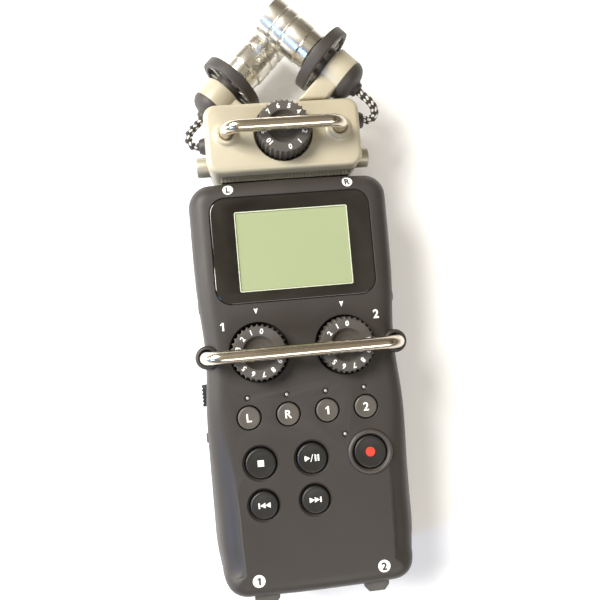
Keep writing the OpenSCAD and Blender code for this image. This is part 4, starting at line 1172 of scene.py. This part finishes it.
def make_module_case():
    gain = middle("gain_dial")
    guard = middle("module_guard_bar")
    guard_x = box("module_guard_bar")[1].x - 2
    radius, corner = 1.7, 4.0

    def edge(level, way):
        """Inset and height of each ring of a rounded rim, from the side inwards."""
        return [(radius * (1 - cosd(10 * k)), level + way * radius * (1 - sind(10 * k))) for k in range(10)]

    rings = [rect_ring(MODULE_W, MODULE_Y0, MODULE_Y1, corner, 0.15, MODULE_MID_Z),
             rect_ring(MODULE_W, MODULE_Y0, MODULE_Y1, corner, 0, MODULE_MID_Z + 0.2)]
    rings += [rect_ring(MODULE_W, MODULE_Y0, MODULE_Y1, corner, d, z) for d, z in edge(FACE, -1)]
    top = ring_stack("module_top", rings, 30)
    bosses = []
    for s in (-1, 1):
        profile = [(0, FACE - 0.5), (4.6, FACE - 0.5), (4.6, FACE)]
        profile += [(4.6 - 1.1 * sind(15 * k), FACE + 1.5 * (1 - cosd(15 * k)) * 0.55)
                    for k in range(1, 7)]
        profile += [(3.3, FACE + 1.2), (3.05, FACE + 1.4), (0, FACE + 1.4)]
        bosses.append(lathe("boss", profile, (s * guard_x, guard.y, 0), steps=72))
    for boss in bosses:
        carve(top, [boss], "UNION")
    cavity = slab("cavity", MODULE_W - 3.6, MODULE_Y0 + 1.8, MODULE_Y1 - 1.8, 2.4, MODULE_MID_Z - 1,
                  FACE - 1.8, n=6)
    posts = [rod("post", WELL_R + 1, WELL_Z - WALL, 40,
                   (0, gain.y, 0))]
    posts += [rod("post", 3.4, 22, 40, (s * guard_x, guard.y, 0)) for s in (-1, 1)]
    carve(cavity, posts)
    carve(top, [cavity])
    well = rounded([(0, 10), (4.7, 10), (4.7, WELL_Z), (WELL_R, WELL_Z, 0.3), (WELL_R, FACE - RIM)])
    well += flare(WELL_R, FACE, RIM)
    cut = [lathe("cut", well + [(WELL_R + RIM + 0.03, FACE + 3), (0, FACE + 3)], (0, gain.y, 0), steps=120)]
    for s in (-1, 1):
        cut.append(lathe("cut", [(0, 24), (2.05, 24), (2.05, FACE + 0.9), (2.4, FACE + 1.3), (2.5, FACE + 4),
                                 (0, FACE + 4)], (s * guard_x, guard.y, 0), steps=64))
    cut += module_cutters()
    carve(top, cut, angle=30)
    dress(top, "champagne", "mic_module", ["module_front"])
    rings = [rect_ring(MODULE_W, MODULE_Y0, MODULE_Y1, corner, d, z) for d, z in edge(BACK_Z, 1)[::-1]]
    rings += [rect_ring(MODULE_W, MODULE_Y0, MODULE_Y1, corner, d, z)
              for d, z in ((0, MODULE_MID_Z - 0.2), (0.15, MODULE_MID_Z))]
    back = ring_stack("module_back", rings, 30)
    cavity = slab("cavity", MODULE_W - 3.6, MODULE_Y0 + 1.8, MODULE_Y1 - 1.8, 2.4, BACK_Z + 1.8,
                  MODULE_MID_Z + 1, n=6)
    carve(back, [cavity])
    carve(back, module_cutters(), angle=30)
    dress(back, "champagne", "mic_module", ["module_rear"])


def module_cutters():
    lo, hi = box("unlock_button_right")
    mid = (lo + hi) / 2
    r = (hi.z - lo.z) / 2 + 0.3
    cut = []
    for s in (-1, 1):
        profile = [(0, 0), (r, 0), (r, 4.8), (r + 0.25, 5.05), (r + 0.25, 7), (0, 7)]
        cut.append(lathe("cut", profile, (s * (MODULE_W / 2 - 5), mid.y, mid.z), (s, 0, 0), steps=64))
    cut.append(cube("cut", (-14.6, 14.6), (MODULE_Y0 - 1, MODULE_Y0 + 3), (12.4, 21.6)))
    return cut


def make_module_plug():
    lo, hi = box("module_plug")
    strip = slab("module_collar", hi.x - lo.x, BODY_L + 0.1, MODULE_Y0, 0.3, 11, FACE - 6)
    grooves = [cube("groove", (-20.4 + 1.2 * i, -19.8 + 1.2 * i), (BODY_L - 1, BODY_L + 3),
                    (FACE - 6.35, FACE - 5))
               for i in range(35)]
    carve(strip, [joined("grooves", grooves)])
    tongue = cube("tongue", (-14, 14), (BODY_L - 9, BODY_L + 0.2), (13, 21))
    inner = cube("inner", (-14.3, 14.3), (MODULE_Y0 - 0.01, MODULE_Y0 + 4), (12.6, 21.4))
    bevel(tongue, 0.4)
    carve(strip, [tongue], "UNION")
    carve(strip, [inner], "UNION")
    dress(strip, "ridge_plastic", "mic_module", ["module_plug"])


def make_unlock_buttons():
    for node, body, s in (("unlock_button_left", "unlock_left", -1),
                          ("unlock_button_right", "unlock_right", 1)):
        lo, hi = box(node)
        mid = (lo + hi) / 2
        r, length = (hi.z - lo.z) / 2, hi.x - lo.x
        start = lo.x if s > 0 else hi.x
        profile = rounded([(0, 0), (r, 0, 0.1), (r, length, 0.5), (r - 1.4, length, 0.3),
                           (r - 1.6, length - 0.25, 0.2),
                           (0, length - 0.35)], 5)
        dress(lathe(node + "_cap", profile, (start, mid.y, mid.z), (s, 0, 0), steps=72), "satin_metal", body,
              [node])


def make_cradle(s):
    node = "mic_cradle_right" if s > 0 else "mic_cradle_left"
    front, back, r = 24.6, 31.5, 7.0
    barrel = on_axis("barrel", rounded([(0, front), (r, front, 0.5), (r, back, 0.5), (0, back)], 5), s)
    along = Vector((s * DIAG, -DIAG, 0))
    across = Vector((-s * DIAG, -DIAG, 0))
    corners = []
    for a, reach in ((front + 0.15, 0.5), (back - 0.15, 0.5), (back - 0.15, 40), (front + 0.15, 40)):
        for z in (-4.6, 4.6):
            corners.append(CROSS[s] + along * a + across * reach + Vector((0, 0, z)))
    web = new_object("web", [at(*p) for p in corners],
                     [(0, 2, 4, 6), (1, 3, 5, 7), (0, 1, 3, 2), (2, 3, 5, 4), (4, 5, 7, 6), (6, 7, 1, 0)])
    carve(web, [cube("cut", (-60, 60), (MODULE_Y1 - 40, MODULE_Y1), (-20, 60))])
    bevel(web, 0.9, 4)
    carve(barrel, [web], "UNION")
    carve(barrel,
          [on_axis("cut", [(0, front - 1), (3.65, front - 1), (3.65, front + 4), (0, front + 4)], s, 48)],
          angle=30)
    dress(barrel, "champagne", "mic_module", [node])
    barrel.name = node + "_casting"


def make_shock_mount(s):
    node = "shock_mount_right" if s > 0 else "shock_mount_left"
    front, back, r = 19.25, 22.75, 11.2
    tyre = on_axis("tyre",
                   rounded([(9.3, front + 0.5, 0.2), (9.8, front, 0.3), (r, front, 0.3), (r, back, 0.3),
                                    (9.4, back, 0.2), (9.3, back - 0.6, 0.2)], 5), s, 120)
    hub = on_axis("hub", rounded([(3.66, front + 0.4), (4.9, front + 0.4, 0.4), (5.15, back - 0.6, 0.3),
                                  (5.2, 24.55, 0.2), (3.66, 24.55)], 4), s, 72)
    along = Vector((s * DIAG, -DIAG, 0))
    side = along.cross(Vector((0, 0, 1))).normalized()
    up = Vector((0, 0, 1))
    spokes = []
    for i in range(8):
        a = math.radians(45 * i + 22.5)
        out = side * math.cos(a) + up * math.sin(a)
        flank = up * math.cos(a) - side * math.sin(a)
        verts = []
        for rr, h0, h1, w in ((4.5, back - 1.7, back - 0.5, 1.35), (6.2, back - 1.65, back - 0.7, 0.95),
                              (8.0, back - 1.65, back - 0.7, 0.95), (9.9, back - 1.7, back - 0.5, 1.5)):
            for h, side_way in ((h0, -1), (h0, 1), (h1, 1), (h1, -1)):
                verts.append(at(*(CROSS[s] + along * h + out * rr + flank * w * side_way)))
        faces = [(0, 1, 2, 3), (12, 13, 14, 15)]
        for k in range(3):
            for j in range(4):
                faces.append((k * 4 + j, k * 4 + (j + 1) % 4, k * 4 + 4 + (j + 1) % 4, k * 4 + 4 + j))
        spoke = new_object("spoke", verts, faces)
        spokes.append(bevel(spoke, 0.22, 2, 50))
    dress(joined(node + "_ring", [tyre, hub]), "rubber", "mic_module", [node])
    dress(joined(node + "_web", spokes), "web_plastic", "mic_module")


def make_mic(s):
    node = "mic_head_right" if s > 0 else "mic_head_left"
    r = 6.8
    profile = [(0, -0.4), (r - 0.75, -0.4), (r - 0.7, -1.3, 0.1), (r - 0.3, -1.4, 0.15), (r, -1.1, 0.2)]
    for h in (3.1, 7.2):
        profile += [(r, h, 0.12), (r - 0.45, h + 0.25, 0.12), (r - 0.45, h + 1.15, 0.12), (r, h + 1.4, 0.12)]
    profile += [(r, 13.9, 0.3), (r - 0.4, 14.5, 0.3), (r - 0.45, 17.6, 0.4), (r - 1.1, 18.6, 0.3),
                (3.6, 18.75, 0.2),
                (3.6, 27.6), (0, 27.6)]
    finish = "turned_right" if s > 0 else "turned_left"
    dress(on_axis(node + "_shell", rounded(profile, 4), s, 128), finish, "mic_module", [node])


def make_grilles():
    wires = []
    for s in (-1, 1):
        along = Vector((s * DIAG, -DIAG, 0))
        side, up = along.cross(Vector((0, 0, 1))).normalized(), Vector((0, 0, 1))
        r, front, pitch, wire = 6.0, -0.75, 0.7, 0.14
        wires.append(on_axis("disc", [(0, -0.45), (r, -0.45), (r, -0.55), (0, -0.6)], s, 48))
        for i in range(-8, 9):
            off = i * pitch
            if abs(off) >= r - 0.2:
                continue
            half = math.sqrt(r * r - off * off)
            for a, b in ((side, up), (up, side)):
                p = [CROSS[s] + along * front + a * off + b * t * half for t in (-1, -0.5, 0, 0.5, 1)]
                wires.append(sweep("wire", p, wire, 6))
    dress(joined("grille_mesh", wires), "mesh", "mic_module", ["mic_grilles"])


def make_boots():
    boots = []
    for s in (-1, 1):
        profile = [(0, 31.5), (6.95, 31.5)]
        profile += [(2.5 + 4.45 * cosd(9 * k), 31.7 + 3.7 * sind(9 * k))
                    for k in range(1, 9)]
        profile += rounded([(3.1, 35.4), (2.5, 35.9, 0.4), (2.4, 36.6, 0.2), (2.1, 37, 0.2), (1.5, 37),
                            (1.5, 35.6),
                            (0, 35.6)], 4)
        boots.append(on_axis("boot", profile, s, 72))
    dress(joined("lead_boots", boots), "rubber", "mic_module", ["cable_boots"])
    reliefs = []
    for s, y, z in ((1, 151.4, 22), (-1, 148.8, 12)):
        profile = rounded([(0, -0.4), (3.7, -0.4), (3.7, 0.5, 0.4), (3.1, 0.9, 0.3), (2.9, 1.3, 0.2),
                           (2.7, 2.0, 0.2),
                           (2.3, 2.9, 0.3), (1.5, 3.0), (1.5, 1.5), (0, 1.5)], 3)
        reliefs.append(lathe("relief", profile, (s * MODULE_W / 2, y, z), (s, 0, 0), steps=48))
    dress(joined("lead_reliefs", reliefs), "rubber", "mic_module", ["strain_reliefs"])


LEADS = {
    1: [(25.5, 160, 27.6), (26.2, 159.3, 27.6), (26.9, 158.6, 27.6), (28.1, 157.4, 27.5), (29.4, 156.4, 27.1),
        (30.6, 155.2, 26.4), (31.4, 154, 25.5), (31.7, 152.9, 24.4), (31.4, 152, 23.4), (30.5, 151.5, 22.6),
        (29.4, 151.4, 22), (28.2, 151.4, 22), (26.8, 151.4, 22)],
    -1: [(-25.5, 158.7, 13.2), (-26.2, 158, 13.2), (-26.9, 157.3, 13.2), (-28.1, 156.1, 13.2),
         (-29.3, 155, 13.2),
         (-30.4, 153.8, 13.2), (-31.1, 152.6, 13.1), (-31.3, 151.4, 12.9), (-31, 150.3, 12.6),
         (-30.2, 149.3, 12.3),
         (-29.3, 148.8, 12), (-28.2, 148.8, 12), (-26.8, 148.8, 12)],
}


def make_lead(s):
    """A braided lead: light strands wind one way over and under dark ones that wind the other way."""
    name = "braid_right" if s > 0 else "braid_left"
    path = curve_points(LEADS[s], 160)
    stations = frames(path)
    length = sum((b - a).length for a, b in zip(path, path[1:]))

    def on_tube(run, angle, r):
        t = min(max(run / length, 0), 1) * (len(stations) - 1)
        i = min(int(t), len(stations) - 2)
        p, side, up = (stations[i][k].lerp(stations[i + 1][k], t - i) for k in range(3))
        return at(*(p + side * r * math.cos(angle) + up * r * math.sin(angle)))

    strands, thick, base, wave, core = 6, 0.16, 1.12, 0.11, 1.05
    pitch = 2 * math.pi * base * 1.9
    lean = math.atan(2 * math.pi * base / pitch)
    for way, finish, tag, wide in ((1, "braid_light", "_light", 0.36), (-1, "braid_dark", "_dark", 0.64)):
        verts, faces = [], []
        for i in range(strands):
            start = len(verts)
            count = int(length / 0.16)
            for k in range(count + 1):
                run = length * k / count
                lift = wave * way * math.cos(math.pi * run * 2 * strands / pitch)
                for j in range(8):
                    a = 2 * math.pi * j / 8
                    over, high = wide * math.cos(a), thick * math.sin(a)
                    verts.append(on_tube(run + over * math.sin(lean), way * 2 * math.pi * run / pitch
                                         + 2 * math.pi * i / strands - way * over * math.cos(lean) / base,
                                         base + lift + high))
            for k in range(count):
                for j in range(8):
                    a, b = start + k * 8, start + (k + 1) * 8
                    faces.append((a + j, a + (j + 1) % 8, b + (j + 1) % 8, b + j))
            faces.append(tuple(range(start, start + 8))[::-1])
            faces.append(tuple(range(start + count * 8, start + count * 8 + 8)))
        dress(new_object(name + tag, verts, faces, 60), finish, "mic_module",
              ["braided_lead_right" if s > 0 else "braided_lead_left"] if way > 0 else ())
    dress(sweep(name + "_core", path, core, 16), "braid_dark", "mic_module")


# ---------- printed marks ----------

def draped(part, skin):
    """Lays a thin print on the skin below it, its top just proud."""
    tree = BVHTree.FromObject(skin, bpy.context.evaluated_depsgraph_get())
    for v in part.data.vertices:
        hit = tree.ray_cast(Vector((v.co.x, v.co.y, 0.2)), Vector((0, 0, -1)))[0]
        if hit:
            v.co.z += hit.z - FACE * MM
    return part


def make_prints(shell):
    pale, dark = [], []
    for x, y, r, text in ((-19.07, 128.84, 1.65, "L"), (19.07, 128.84, 1.65, "R"), (-19.57, 7.2, 1.95, "1"),
                          (19.57, 7.2, 1.95, "2")):
        pale.append(token("disc", r, x, y, FACE, 0.03))
        dark.append(figure("mark", text, r * 1.15, x, y, FACE + 0.16, 0.04, 0.09))
    for s, text in ((-1, "1"), (1, "2")):
        pale.append(figure("mark", text, 2.6, s * 24.3, 85.9, FACE, 0.03, 0.12))
        pale.append(decal("arrow", [(-0.68, 0.9), (0, -0.9), (0.68, 0.9), (0, 0.72)], s * DIAL.x, 89.95,
                          FACE, 0, 0.03))
    for part in pale + dark:
        draped(part, shell)
    dress(joined("case_marks", pale), "white_print", "recorder")
    dress(joined("case_letters", dark), "dark_print", "recorder")


# ---------- what is left of the CAD's own pieces ----------

def finish_cad_nodes():
    """Inner pieces keep their CAD shape, with softened edges and a finish."""
    slots = {
        "lcd_panel": "liquid_crystal", "main_board": "circuit_board", "output_jacks": "black_plastic",
        "usb_port": "contact_metal", "sd_socket": "contact_metal", "button_membrane": "silicone",
        "input_pots": "contact_metal", "speaker": "black_plastic", "battery_contacts": "contact_metal",
        "batteries": "cell_sleeve", "tripod_insert": "brass", "case_screws": "screw_steel",
        "module_socket": "black_plastic", "sd_card": "card_plastic", "gain_pot": "contact_metal",
    }
    for node, finish in slots.items():
        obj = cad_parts[node]
        obj.data.materials.clear()
        obj.data.materials.append(FINISH[finish])
        weld = obj.modifiers.new("weld", "WELD")
        weld.merge_threshold = 1e-6
        mod = obj.modifiers.new("bevel", "BEVEL")
        mod.width = 0.12 * MM
        mod.segments = 2
        mod.limit_method = "ANGLE"
        mod.angle_limit = math.radians(40)


make_camera()
make_light()
make_finishes()
make_floor()
for side in (-1, 1):
    make_lead(side)
make_prints(make_front_shell())
make_rear_shell()
make_window()
make_guard("guard_rod", "guard_bar", 5)
make_guard("module_rod", "module_guard_bar", 4.5)
make_dial("level_dial_left", "input_dial_1", "dial_1", -10, 28.1)
make_dial("level_dial_right", "input_dial_2", "dial_2", -3.6, 28.1)
make_dial("level_dial_module", "gain_dial", "dial_gain", -168, 30)
make_keys()
make_lights()
make_side_controls()
make_sd_door()
make_battery_cover()
make_jacks()
make_module_case()
make_module_plug()
make_unlock_buttons()
for side in (-1, 1):
    make_cradle(side)
    make_shock_mount(side)
    make_mic(side)
make_grilles()
make_boots()
finish_cad_nodes()
